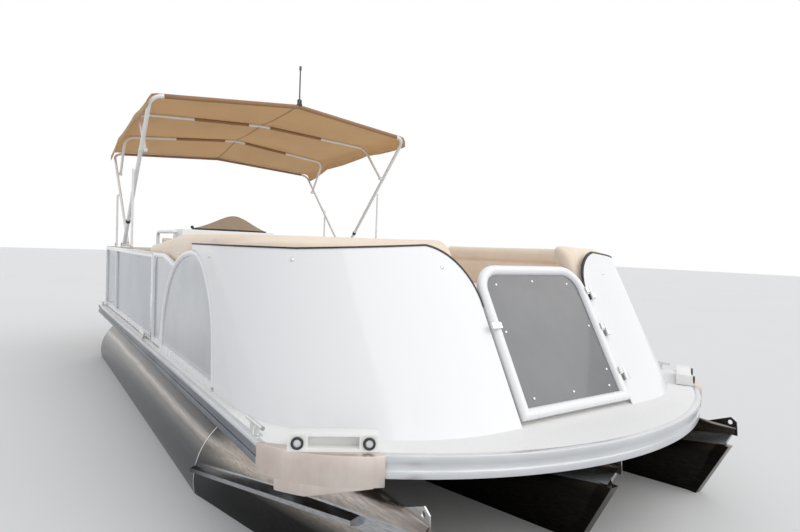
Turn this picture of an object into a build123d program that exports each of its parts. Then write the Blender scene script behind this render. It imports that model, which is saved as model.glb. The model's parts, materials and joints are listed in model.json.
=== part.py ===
from build123d import *
import os
from math import atan2, cos, degrees, hypot, radians, sin, sqrt, tan

os.makedirs("parts", exist_ok=True)

# Frame: bow towards -Y, port towards +X, up +Z, millimetres.
# While a piece is being made, Y is its station: the distance aft of the deck's front edge.

# Hull
beam = 2590.0
deck_length = 5170.0
deck_top = 800.0
keel_height = 20.0
keel_width = 48.0
tube_diameter = 635.0
tube_wall = 2.5
tube_pitch = 950.0
tube_stern = deck_length - 20.0
nose_root = 1500.0
nose_tip_half_width = 20.0
oval_margin = 0.01
stem_top_station = 88.0
stem_foot_station = 402.0
stem_channel_depth = 24.0
stem_channel_drop = 100.0
strake_front = 400.0
strake_rise = 150.0
strake_height = 52.0
strake_reach = 34.0
strake_below_deck = 402.0
eye_plate_thickness = 6.0
eye_plate_length = 150.0
eye_plate_height = 46.0
eye_hole_radius = 11.0

# Deck
vinyl_thickness = 4.0
board_thickness = 19.0
crossmember_height = 75.0
crossmember_width = 40.0
crossmember_wall = 4.0
crossmember_pitch = 400.0
crossmember_first = 360.0
riser_offset = 110.0
riser_wall = 5.0
riser_flange = 36.0
bow_arc_radius = 1740.0
trim_width = 25.0
trim_height = 78.0
trim_groove = 6.0
casting_half_start = beam / 2 - 310.0
casting_start_station = 285.0
casting_mid = (beam / 2 - 120.0, 412.0)
casting_end_station = 602.0
casting_proud = 5.0
casting_height = 103.0
skirt_height = 56.0
skirt_inset = 30.0
lamp_box_length = 300.0
lamp_box_depth = 84.0
lamp_box_height = 54.0
lamp_box_centre = (beam / 2 - 201.0, 436.0)
lamp_box_turn = 30.0
lamp_radius = 17.0
cleat_length = 150.0
cleat_radius = 8.0
cleat_edge = 26.0
cleat_foot_half = 25.0
cleat_height = 38.0
cleat_stations = (700.0, 2900.0, deck_length - 110.0)

# Bow shells
shell_deck_margin = 55.0
shell_half_beam = beam / 2 - shell_deck_margin
shell_front = 280.0
shell_corner_radius = 790.0
shell_rake = 0.57
shell_height = 655.0
shell_rise = 33.0
shell_wall = 5.0
gate_round_width = 200.0
gate_round_height = 265.0
bead_radius = 7.0

# Gates and fence
gate_half_width = 350.0
gate_clearance = 12.0
gate_height = 600.0
gate_tube = 46.0
gate_corner_radius = 110.0
gate_deck_gap = 10.0
leaf_drop = 15.0
gate_panel_thickness = 5.0
fence_shell_margin = 5.0
fence_half_beam = shell_half_beam + fence_shell_margin
fence_tube = 32.0
fence_top = 590.0
fence_stern = deck_length - 85.0
fence_low = 26.0
fence_dip_start = 2420.0
fence_dip_end = 2075.0
fence_dip = 60.0
fence_dip_bend = 500.0
fence_post = 2720.0
fence_panel_thickness = 4.0
side_gate_width = 660.0
stern_gate_inner = 520.0
stern_gate_width = 640.0
arch_foot = 2470.0
arch_top = 1745.0
arch_bow_foot = 1335.0
arch_haunch = (2290.0, 420.0)
arch_shoulder = (1510.0, 520.0)
arch_elbow = (1400.0, 380.0)
shell_arch_gap = 4.0
arch_height = 626.0
hinge_barrel_radius = 8.0
hinge_pin_radius = 4.0
hinge_barrel_height = 30.0
hinge_leaf_thickness = 3.0
running_gap = 0.3

# Seating
seat_inner_half = 600.0
seat_base_height = 330.0
seat_base_wall = 15.0
cushion_thickness = 100.0
back_thickness = 130.0
back_top = 725.0
back_gap = 34.0
back_lift = 2.0
lounge_front = 370.0
lounge_stern = 2600.0
lid_front = 1180.0
lid_stern = lounge_stern - 370.0
roll_stern = lounge_stern + 510.0
roll_slope_start = lounge_stern - 350.0
roll_slope_drop = 76.0
chaise_lean = 110.0
chaise_depth = 84.0
chaise_top = 700.0
lid_clearance = 8.0
stern_seat_front = deck_length - 730.0
stern_seat_port = 420.0
stern_back_top = 565.0

# Helm
console_front = lounge_stern + 200.0
console_depth = 420.0
console_fence_gap = 215.0
console_width = 670.0
console_outer = fence_half_beam - console_fence_gap
console_inner = console_outer - console_width
console_height = 755.0
console_knee = 0.62
console_knee_reach = 60.0
console_top_front = 80.0
console_top_stern = 90.0
screen_height = 112.0
screen_edge_height = 10.0
screen_margin_outer = 90.0
screen_margin_inner = 30.0
screen_bow_station = 90.0
screen_end_station = 170.0
screen_thickness = 4.0
wheel_radius = 170.0
wheel_rim_radius = 13.0
wheel_tilt = 28.0
wheel_shaft = 105.0
wheel_collar = 40.0
wheel_hub_depth = 50.0
wheel_mount_share = 0.74
helm_rail_tube = 25.0
helm_rail_off = 45.0
helm_rail_front = console_front + 225.0
helm_rail_stern = console_front + 660.0
helm_rail_low_front = console_front + 350.0
helm_rail_top = 735.0
helm_rail_low = 500.0
helm_rail_bend = 40.0
throttle_box_width = 44.0
throttle_lever = 150.0
chair_x = -(console_outer + console_inner) / 2
chair_station = console_front + 1100.0
chair_seat_width = 480.0
chair_seat_depth = 450.0
chair_seat_top = 440.0
chair_back_top = 700.0
chair_plate_margin = 30.0
chair_pillar_drop = 60.0
chair_arm_width = 50.0
chair_arm_front = chair_station - 150.0
chair_arm_stern = chair_station + 200.0

# Bimini: bows and legs in the plane of each hoop
foot_station = deck_length - 650.0
foot_height = 618.0
front_hoop_x = fence_half_beam - 80.0
front_hoop_tube = 32.0
inner_tube = 25.0
front_hoop_angle = 134.8
front_hoop_corner = 1610.0
front_hoop_crown = 1745.0
rear_hoop_angle = 42.8
rear_hoop_corner = 1425.0
rear_hoop_crown = 1560.0
second_hoop_pivot = 1100.0
second_hoop_angle = 45.4
second_hoop_corner = 500.0
second_hoop_crown = 612.0
third_hoop_pivot = 1078.0
third_hoop_angle = 127.0
third_hoop_corner = 433.0
third_hoop_crown = 560.0
hoop_bend_radius = 95.0
brace_front_station = foot_station - 630.0
brace_rear_station = fence_stern - 35.0
brace_tube = 19.0
canopy_thickness = 3.0
canopy_lift = 1.0
hoop_clearance = 5.5
canopy_hem_drop = 75.0
mast_height = 300.0

# Outboard
transom_station = deck_length + 430.0
pod_width = 560.0
pod_top = 650.0
pod_bottom = 290.0
pod_deadrise = 30.0
transom_lean = 30.0
bracket_seat = 0.3
bracket_reach = 260.0
bracket_top = 34.0
cowl_lift = 95.0
cowl_height = 340.0
motor_pivot_height = 700.0
motor_tilt_at_rest = 62.0
propeller_radius = 178.0

tube_radius = tube_diameter / 2
tube_centre = keel_height + tube_radius
tube_places = (("port", tube_pitch), ("centre", 0.0), ("starboard", -tube_pitch))
sides = (("port", 1), ("starboard", -1))
board_bottom = deck_top - vinyl_thickness - board_thickness
crossmember_bottom = board_bottom - crossmember_height
trim_bottom = deck_top - trim_height
half_beam = beam / 2
rail_centre = fence_half_beam - fence_tube / 2
fence_mid_post = foot_station - 120.0

nodes = {}


def add(name, *shapes):
    """Keep the solids of every shape as one named node."""
    solids = nodes.setdefault(name, [])
    for shape in shapes:
        solids.extend(shape.solids())


def block(x0, x1, y0, y1, z0, z1):
    """A box by its low and high faces."""
    return Pos((x0 + x1) / 2, (y0 + y1) / 2, (z0 + z1) / 2) * Box(abs(x1 - x0), abs(y1 - y0), abs(z1 - z0))


def rod(start, end, radius):
    """A round bar between two points."""
    start, end = Vector(*start), Vector(*end)
    return Solid.make_cylinder(radius, (end - start).length, Plane(origin=start, z_dir=end - start))


def pipe(points, radius, bend):
    """A round tube along straight runs joined by arcs."""
    path = FilletPolyline(*points, radius=bend)
    start = Plane(origin=path @ 0, z_dir=path % 0)
    return sweep(start * Circle(radius), path=path)


def prism_x(points, x0, x1):
    """A (station, height) outline extruded across the boat."""
    plane = Plane(origin=(x0, 0, 0), x_dir=(0, 1, 0), z_dir=(1, 0, 0))
    face = make_face(Polyline(*[tuple(p) for p in points], close=True))
    return extrude(plane * face, amount=x1 - x0)


def prism_z(face, z0, z1):
    """A plan outline extruded from one height to another."""
    return extrude(Pos(0, 0, z0) * face, amount=z1 - z0)


def polar(radius, angle):
    """Station and height offsets of a point at an angle above the stern direction."""
    return radius * cos(radians(angle)), radius * sin(radians(angle))


# Deck plan

def bow_arc_station(half_width, inset):
    """Station of the deck's front arc at a half width, drawn in by an inset."""
    radius = bow_arc_radius - inset
    return bow_arc_radius - sqrt(radius ** 2 - half_width ** 2)


def deck_face(inset):
    """The deck's plan: a front arc, two sides and the stern."""
    half = half_beam - inset
    corner = bow_arc_station(half, inset)
    front = ThreePointArc((-half, corner), (0, inset), (half, corner))
    rest = Polyline((half, corner), (half, deck_length - inset), (-half, deck_length - inset), (-half, corner))
    return make_face([front, rest])


def casting_face(side, inset):
    """Plan of a bow corner: an arc that stands proud of the deck, down to the board's edge."""
    start = (side * (casting_half_start + inset), casting_start_station + inset * 0.6)
    middle = (side * (casting_mid[0] - inset * 0.7), casting_mid[1] + inset * 0.7)
    end = (side * (half_beam + casting_proud - inset), casting_end_station)
    corner = (start[0], casting_end_station)
    outer = ThreePointArc(start, middle, end)
    crescent = make_face([outer, Polyline(end, corner, start)])
    return crescent - deck_face(trim_width)


def deck_half_width(station, inset):
    """Half width of the deck plan at a station."""
    radius = bow_arc_radius - inset
    if station >= bow_arc_radius:
        return half_beam - inset
    reach = radius ** 2 - (bow_arc_radius - station) ** 2
    return min(half_beam - inset, sqrt(max(reach, 0)))


# Bow plan, sheared aft with height

def bow_face(inset, stern=2600.0):
    """Closed plan of the space inside the bow shells, drawn in by an inset."""
    half = shell_half_beam - inset
    front = shell_front + inset
    radius = shell_corner_radius - inset
    quarter = radius * (1 - cos(radians(45)))
    outline = [
        Line((-half, stern), (-half, front + radius)),
        ThreePointArc((-half, front + radius), (-half + quarter, front + quarter), (-half + radius, front)),
        Line((-half + radius, front), (half - radius, front)),
        ThreePointArc((half - radius, front), (half - quarter, front + quarter), (half, front + radius)),
        Polyline((half, front + radius), (half, stern), (-half, stern)),
    ]
    return make_face(outline)


def bow_volume(inset, low, high, stern=2600.0):
    """The bow plan swept up its rake between two heights above the deck."""
    lean = Vector(0, shell_rake, 1)
    start = Pos(0, shell_rake * low, deck_top + low) * bow_face(inset, stern)
    return extrude(start, amount=(high - low) * lean.length, dir=lean.normalized())


# Pontoons

def pontoon(x, wall_offset):
    """One tube with its tapered nose, drawn in by a wall."""
    radius = tube_radius - wall_offset
    barrel = Pos(x, (nose_root + tube_stern) / 2, tube_centre) * Rot(90, 0, 0) * Cylinder(
        radius, tube_stern - nose_root - 2 * wall_offset)
    root = Plane(origin=(x, nose_root + wall_offset, tube_centre), x_dir=(1, 0, 0), z_dir=(0, -1, 0))
    top = (stem_top_station + 3 * wall_offset, tube_centre + radius)
    foot = (stem_foot_station + 3 * wall_offset, tube_centre - radius + keel_height)
    reach = hypot(foot[0] - top[0], foot[1] - top[1])
    up = Vector(0, top[0] - foot[0], top[1] - foot[1]).normalized()
    tip = Plane(origin=(x, (top[0] + foot[0]) / 2, (top[1] + foot[1]) / 2), x_dir=(1, 0, 0),
                z_dir=Vector(1, 0, 0).cross(up))
    sections = [root * Ellipse(radius, radius + oval_margin), tip * Ellipse(nose_tip_half_width - wall_offset, reach / 2)]
    return barrel, loft(sections)


def nose_half_width(station, height):
    """Half width of a nose, close enough to seat a strake before it is trimmed."""
    lean = (stem_foot_station - stem_top_station) / (tube_diameter - keel_height)
    tip = stem_top_station + lean * (tube_centre + tube_radius - height)
    along = min(1.0, (station - tip) / (nose_root - tip))
    tall = sqrt(max(0.0, 1 - ((height - tube_centre) / tube_radius) ** 2))
    return (nose_tip_half_width + (tube_radius - nose_tip_half_width) * along) * tall


tube_solids = {}
for place, x in tube_places:
    barrel, nose = pontoon(x, 0)
    tube_solids[place] = (barrel, nose)
    inner_barrel, inner_nose = pontoon(x, tube_wall)
    add(f"pontoon_{place}", barrel - inner_barrel, nose - inner_nose)

# Keels under the barrels, and stems that carry them on up the noses
stem_lean = (stem_foot_station - stem_top_station) / (tube_diameter - keel_height)
stem_head = (stem_top_station + stem_lean * stem_channel_drop, tube_centre + tube_radius - stem_channel_drop)
stem_reach = hypot(1, stem_lean)
stem_shift = stem_channel_depth * stem_reach
stem_profile = [
    (stem_head[0] - stem_shift, stem_head[1]),
    (stem_foot_station - stem_shift, 40.0),
    (stem_foot_station + 8, 0),
    (nose_root, 0),
    (nose_root, keel_height + 2),
    (stem_foot_station + 60, keel_height + 22),
    (stem_head[0] + 30, stem_head[1]),
]
for place, x in tube_places:
    barrel, nose = tube_solids[place]
    low, high = x - keel_width / 2, x + keel_width / 2
    add(f"pontoon_{place}", prism_x(stem_profile, low, high) - nose)
    add(f"pontoon_{place}", block(low, high, nose_root, tube_stern, 0, keel_height + 2) - barrel)

# Spray strakes on the noses, rising towards the bow
strake_stern_z = deck_top - strake_below_deck
for place, x in tube_places:
    barrel, nose = tube_solids[place]
    for side in (1, -1):
        sections = []
        for station, rise in ((nose_root - 20, 0.0), (strake_front, strake_rise)):
            z = strake_stern_z + rise
            edge = x + side * nose_half_width(station, z)
            outline = [
                (edge - side * 30, z + strake_height / 2),
                (edge + side * strake_reach, z + strake_height / 6),
                (edge + side * strake_reach, z - strake_height / 6),
                (edge - side * 30, z - strake_height / 2),
            ]
            if side < 0:
                outline.reverse()
            plane = Plane(origin=(0, station, 0), x_dir=(1, 0, 0), z_dir=(0, -1, 0))
            sections.append(plane * make_face(Polyline(*outline, close=True)))
        strake = loft(sections, ruled=True) - nose - barrel
        add(f"pontoon_{place}", max(strake.solids(), key=lambda solid: abs(solid.center().X - x)))

# Mooring-eye plates on the nose tops
for place, x in tube_places:
    barrel, nose = tube_solids[place]
    top = tube_centre + tube_radius
    outline = [
        (stem_top_station - 4, top - 40),
        (stem_top_station + 2, top + eye_plate_height * 0.6),
        (stem_top_station + 30, top + eye_plate_height),
        (stem_top_station + eye_plate_length, top - 6),
        (stem_top_station + eye_plate_length, top - 40),
    ]
    plate = prism_x(outline, x - eye_plate_thickness / 2, x + eye_plate_thickness / 2)
    hole = Pos(x, stem_top_station + 32, top + 20) * Rot(0, 90, 0) * Cylinder(eye_hole_radius, 40)
    plate = plate - nose - hole
    add(f"pontoon_{place}", max(plate.solids(), key=lambda solid: solid.volume))

# Risers from the tubes to the crossmembers
for place, x in tube_places:
    barrel, nose = tube_solids[place]
    for side in (1, -1):
        inner = x + side * riser_offset
        web = block(inner, inner + side * riser_wall, nose_root - 560, tube_stern - 40, tube_centre,
                    crossmember_bottom)
        flange = block(inner, inner + side * riser_flange, nose_root - 560, tube_stern - 40,
                       crossmember_bottom - riser_wall, crossmember_bottom)
        riser = (web + flange) - barrel - nose
        add("deck_frame", max(riser.solids(), key=lambda solid: solid.center().Z))

# Crossmembers: channels, open aft
station = crossmember_first
while station < deck_length - trim_width - crossmember_width:
    half = deck_half_width(station, trim_width) - 2
    outside = block(-half, half, station, station + crossmember_width, crossmember_bottom, board_bottom)
    inside = block(-half - 1, half + 1, station + crossmember_wall, station + crossmember_width + 1,
                   crossmember_bottom + crossmember_wall, board_bottom - crossmember_wall)
    add("deck_frame", outside - inside)
    station += crossmember_pitch

# Deck board, vinyl and edge trim
add("deck_board", prism_z(deck_face(trim_width), board_bottom, deck_top - vinyl_thickness))
add("deck_vinyl", prism_z(deck_face(trim_width), deck_top - vinyl_thickness, deck_top))

band = trim_height / 3
trim_ring = (
    prism_z(deck_face(0) - deck_face(trim_width), deck_top - band, deck_top)
    + prism_z(deck_face(trim_groove) - deck_face(trim_width), deck_top - 2 * band, deck_top - band)
    + prism_z(deck_face(0) - deck_face(trim_width), trim_bottom, deck_top - 2 * band)
)
trim_cuts = [
    block(-casting_half_start, casting_half_start, -10, casting_start_station + 120, 0, 2000),
    block(half_beam - 60, half_beam + 10, casting_end_station, deck_length - trim_width, 0, 2000),
    block(-half_beam - 10, 60 - half_beam, casting_end_station, deck_length - trim_width, 0,
                            2000),
    block(-half_beam - 10, half_beam + 10, deck_length - trim_width, deck_length + 10, 0, 2000),
]
for cut in trim_cuts:
    add("deck_trim", trim_ring & cut)

# Bow corner castings with their skirts, lamp boxes and lamps
for name, side in sides:
    add("bow_corners", prism_z(casting_face(side, 0), deck_top - casting_height + 3, deck_top + 3))
    skirt = prism_z(casting_face(side, skirt_inset), deck_top - casting_height + 3 - skirt_height,
                    deck_top - casting_height + 3)
    wedge_low = deck_top - casting_height - skirt_height - 20
    slope = prism_x([(200, wedge_low), (casting_end_station - 60, wedge_low),
                     (300, deck_top - casting_height)], -half_beam - 50, half_beam + 50)
    add("bow_corners", skirt - slope)
    place = Pos(side * lamp_box_centre[0], lamp_box_centre[1], deck_top + 3) * Rot(0, 0, side * lamp_box_turn)
    low_face = lamp_box_depth / 2
    outline = [(-low_face, 0), (-low_face + 14, lamp_box_height), (low_face, lamp_box_height), (low_face, 0)]
    housing = prism_x(outline, -lamp_box_length / 2, lamp_box_length / 2)
    pocket = Pos(0, -low_face + 20, lamp_box_height / 2 + 1) * Box(lamp_box_length * 0.56, 50, 36)
    lamp_face = -low_face + 6
    bores = [Pos(s * lamp_box_length * 0.39, lamp_face, lamp_box_height / 2) * Rot(90, 0, 0)
             * Cylinder(lamp_radius, 30) for s in (1, -1)]
    lamps = [Pos(s * lamp_box_length * 0.39, lamp_face + 4, lamp_box_height / 2) * Rot(90, 0, 0)
             * Cylinder(lamp_radius - 0.2, 14) for s in (1, -1)]
    add("lamp_boxes", place * (housing - pocket - bores[0] - bores[1]))
    for lamp in lamps:
        add("lamp_boxes", place * lamp)

# Cleats: two feet and a bar with horns
for side in (1, -1):
    for station in cleat_stations:
        x = side * (half_beam - cleat_edge)
        bar_z = deck_top + cleat_height
        cleat = block(x - 14, x + 14, station - 40, station + 40, deck_top, deck_top + 5)
        cleat += rod((x, station - cleat_length / 2, bar_z), (x, station + cleat_length / 2, bar_z), cleat_radius)
        for end in (station - cleat_foot_half, station + cleat_foot_half):
            cleat += rod((x, end, deck_top + 5), (x, end, bar_z), cleat_radius)
        add("cleats", cleat)

# Arches: the bent tube between each shell and its fence, as station and height

arch_sill_z = deck_top + fence_tube / 2
arch_top_z = deck_top + arch_height - fence_tube / 2
arch_centre_lines = [
    Spline((arch_foot, arch_sill_z), (arch_haunch[0], deck_top + arch_haunch[1]), (arch_top, arch_top_z),
           tangents=[(-0.1, 1), (-1, 0)]),
    Spline((arch_top, arch_top_z), (arch_shoulder[0], deck_top + arch_shoulder[1]),
           (arch_elbow[0], deck_top + arch_elbow[1]), (arch_bow_foot, arch_sill_z),
           tangents=[(-1, 0), (-0.12, -1)]),
]


def arch_outside(line, outset):
    """A curve a distance outside one of the arch's centre lines."""
    points = []
    for step in range(9):
        place, way = line @ (step / 8), (line % (step / 8)).normalized()
        points.append((place.X + outset * way.Y, place.Y - outset * way.X))
    return Spline(*points)


# Bow shells
gate_edge = gate_half_width + gate_clearance
shell_top = shell_height + shell_rise
solid_bow = bow_volume(0, 0, shell_top + 60, 3200.0)
hollow_bow = bow_volume(shell_wall, -30, shell_top + 80, 3300.0)
shell_skin = solid_bow - hollow_bow
rear_cut_plane = Plane(origin=(0, 0, 0), x_dir=(0, 1, 0), z_dir=(1, 0, 0))
rear_edge = arch_outside(arch_centre_lines[1], fence_tube / 2 + shell_arch_gap)
rear_outline = [
    rear_edge,
    Polyline(rear_edge @ 1, ((rear_edge @ 1).X, 0), (4200, 0), (4200, 2000), (arch_top, 2000), rear_edge @ 0),
]
rear_cut = extrude(rear_cut_plane * make_face(rear_outline), amount=1500, both=True)


def shell_trim(side, low, top, edge):
    """What is kept of the bow on one side: its top line, its gate edge and the round between them."""
    front_top = deck_top + top + shell_rise
    rise_start = shell_half_beam - 200
    round_x = edge + gate_round_width
    round_z = front_top - gate_round_height
    arc_x = edge + gate_round_width * (1 - cos(radians(45)))
    arc_z = round_z + gate_round_height * sin(radians(45))
    outline = [
        Polyline((edge, round_z), (edge, deck_top + low), (1500, deck_top + low), (1500, deck_top + top),
                 (rise_start, deck_top + top), (round_x, front_top)),
        ThreePointArc((round_x, front_top), (arc_x, arc_z), (edge, round_z)),
    ]
    plane = Plane(origin=(0, 0, 0), x_dir=(side, 0, 0), z_dir=(0, -side, 0))
    return extrude(plane * make_face(outline), amount=4000, both=True)


for name, side in sides:
    add(f"bow_shell_{name}", (shell_skin & shell_trim(side, 0, shell_height, gate_edge)) - rear_cut)

# Dark bead along each shell's top, on the skin's edge
bead_skin = bow_volume(-3, 0, shell_top + 60, 3200.0) - bow_volume(shell_wall + 3, -30, shell_top + 80, 3300.0)
for name, side in sides:
    outer_trim = shell_trim(side, 300, shell_height + bead_radius, gate_edge - 5)
    inner_trim = shell_trim(side, 200, shell_height, gate_edge)
    bead = ((bead_skin & outer_trim) - inner_trim - rear_cut) & block(
        -1500, 1500, 0, 2000, deck_top + 440, 2000)
    add("bow_beads", bead)

# Padded backs inside the shells, raked with them and rolled over their top edge
for name, side in sides:
    band_volume = bow_volume(back_gap, seat_base_height, back_top + 60, 3200.0) - bow_volume(
        back_gap + back_thickness, seat_base_height - 20, back_top + 80, 3300.0)
    kept = shell_trim(side, seat_base_height + back_lift, back_top - shell_rise, lounge_front)
    stern = roll_stern if side < 0 else lounge_stern
    kept = kept - block(-beam, beam, stern, deck_length, 0, 2 * deck_top)
    slope = prism_x([(roll_slope_start, deck_top + back_top), (roll_stern, deck_top + back_top - roll_slope_drop),
                     (roll_stern, 2 * deck_top), (roll_slope_start, 2 * deck_top)], -beam, beam)
    add(f"lounge_back_{name}", (band_volume & kept) - slope)

# Lounge bases with a locker, a fixed forward cushion and a hinged lid cushion
for name, side in sides:
    base_volume = bow_volume(back_gap, 0, seat_base_height, 3200.0)
    low_x, high_x = sorted((side * seat_inner_half, side * 1300))
    base = base_volume & block(low_x, high_x, 300, lounge_stern, 0, 3000)
    locker_out = side * (shell_half_beam - back_gap - back_thickness + 22)
    locker_in = side * (seat_inner_half + seat_base_wall)
    locker = block(locker_in, locker_out, lid_front, lid_stern, deck_top + seat_base_wall, deck_top + 400)
    add(f"lounge_base_{name}", base - locker)
    pad_volume = bow_volume(back_gap + back_thickness + 6, seat_base_height, seat_base_height
                            + cushion_thickness, 3200.0)
    low_x, high_x = sorted((side * seat_inner_half, side * 1300))
    fixed = pad_volume & (
        block(low_x, high_x, 300, lid_front - 4, 0, 3000)
        + block(low_x, high_x, lid_stern + 4, lounge_stern - 90, 0, 3000))
    add("lounge_pads", fixed)
    lid_outer = shell_half_beam - back_gap - back_thickness - 6
    hinge_x = lid_outer - cushion_thickness
    arc = ThreePointArc(
        (lid_outer, deck_top + seat_base_height),
        (hinge_x + cushion_thickness * cos(radians(45)),
         deck_top + seat_base_height + cushion_thickness * sin(radians(45))),
        (hinge_x, deck_top + seat_base_height + cushion_thickness))
    rest = Polyline((hinge_x, deck_top + seat_base_height + cushion_thickness),
                    (seat_inner_half, deck_top + seat_base_height + cushion_thickness),
                    (seat_inner_half, deck_top + seat_base_height),
                    (lid_outer, deck_top + seat_base_height))
    plane = Plane(origin=(0, lid_stern - lid_clearance, 0), x_dir=(side, 0, 0), z_dir=(0, -side, 0))
    lid = extrude(plane * make_face([arc, rest]), amount=side * (lid_stern - lid_front - 2 * lid_clearance))
    add(f"lounge_lid_{name}", lid)

# Leaning backs at the lounges' stern ends
chaise_outer = shell_half_beam - back_gap - back_thickness - 8
for low_x, high_x in ((-chaise_outer, -seat_inner_half), (seat_inner_half, chaise_outer)):
    add("lounge_pads", prism_x([
        (lounge_stern - chaise_depth, deck_top + seat_base_height), (lounge_stern, deck_top + seat_base_height),
        (lounge_stern + chaise_lean, deck_top + chaise_top),
        (lounge_stern + chaise_lean - 90, deck_top + chaise_top)], low_x, high_x))


# Hinges

def hinge(origin, axis, leaf_dir, fixed_reach, moving_reach, fixed_node, moving_node):
    """A two-knuckle hinge: the lower knuckle and pin are fixed, the upper knuckle moves.
    leaf_dir points from the axis to the fixed leaf."""
    frame = Plane(origin=origin, x_dir=leaf_dir, z_dir=axis)
    low = Solid.make_cylinder(hinge_barrel_radius, hinge_barrel_height)
    pin = Pos(0, 0, hinge_barrel_height) * Solid.make_cylinder(hinge_pin_radius, hinge_barrel_height - 2)
    high = Pos(0, 0, hinge_barrel_height + 0.5) * Solid.make_cylinder(hinge_barrel_radius, hinge_barrel_height)
    bore = Pos(0, 0, hinge_barrel_height) * Solid.make_cylinder(hinge_pin_radius + 0.05, hinge_barrel_height * 2)
    half = hinge_leaf_thickness / 2
    fixed_leaf = block(0, fixed_reach, -half, half, 0, hinge_barrel_height)
    moving_leaf = block(-moving_reach, 0, -half, half, hinge_barrel_height + 0.5, 2 * hinge_barrel_height + 0.5)
    add(fixed_node, frame.location * (low + pin + fixed_leaf))
    add(moving_node, frame.location * ((high + moving_leaf) - bore))


def gate_leaf(plane, width, height, low, corner, panel_thickness):
    """A round-tube gate frame in a plane whose X runs across and Y up, with its panel.
    Its upper corners are bent and its lower corners are mitred."""
    radius = gate_tube / 2
    half = width / 2 - radius
    foot_line, head_line = low + radius, low + height - radius
    corners = (-half, head_line), (half, head_line)
    frame = pipe([(-half, foot_line - radius), *corners, (half, foot_line - radius)], radius, corner)
    bar = rod((-half - radius, foot_line, 0), (half + radius, foot_line, 0), radius)
    mitre = extrude(make_face(Polyline((-half - 2 * radius, foot_line - 2 * radius), (0, foot_line + half),
                                       (half + 2 * radius, foot_line - 2 * radius), close=True)),
                    amount=2 * radius, both=True)
    frame = (frame - mitre) + (bar & mitre)
    arch = FilletPolyline((-half, foot_line), *corners, (half, foot_line), radius=corner)
    opening = make_face([arch, Line(arch @ 1, arch @ 0)])
    panel = extrude(offset(opening, amount=-radius + 6), amount=panel_thickness / 2, both=True)
    return plane * (frame - panel), plane * panel


# Bow gate, raked with the shells and hinged on its port edge
rake_angle = degrees(atan2(shell_rake, 1))
gate_plane = Plane(origin=(0, shell_front + shell_wall / 2, deck_top), x_dir=(1, 0, 0),
                   z_dir=(0, -cos(radians(rake_angle)), sin(radians(rake_angle))))
slope_length = 1 / cos(radians(rake_angle))
gate_frame, gate_panel = gate_leaf(gate_plane, 2 * gate_half_width, gate_height * slope_length - gate_deck_gap,
                                   gate_deck_gap + gate_tube / 4, gate_corner_radius, gate_panel_thickness)
add("bow_gate_frame", gate_frame)
add("bow_gate_panel", gate_panel)
gate_axis = (0, sin(radians(rake_angle)), cos(radians(rake_angle)))
hinge_out = gate_tube / 2 + 6
for along in (110.0, 330.0, 520.0):
    origin = gate_plane.from_local_coords((gate_edge - 4, along, hinge_out))
    hinge(origin, gate_axis, (1, 0, 0), 30, 30, "hinge_mounts", "bow_gate_fittings")
    pad_at = gate_plane.from_local_coords((gate_edge + 14, along + hinge_barrel_height / 2, hinge_out / 2 + 1))
    pad = Plane(origin=pad_at, x_dir=(1, 0, 0), z_dir=gate_plane.z_dir) * Box(
        22, hinge_barrel_height, hinge_out - 2 * 1.3)
    add("hinge_mounts", pad - solid_bow)
latch_at = gate_plane.from_local_coords((-gate_half_width + 6, 410, gate_tube / 2 + 5))
latch = Plane(origin=latch_at, x_dir=(1, 0, 0), z_dir=gate_plane.z_dir) * Box(52, 26, 12)
add("bow_gate_fittings", latch - gate_frame)

# Fences

def rail(x, y0, y1, z):
    """A square rail along the boat."""
    half = fence_tube / 2
    return block(x - half, x + half, y0, y1, z - half, z + half)


def post(x, y, z0, z1):
    """A square post."""
    half = fence_tube / 2
    return block(x - half, x + half, y - half, y + half, z0, z1)


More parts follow.
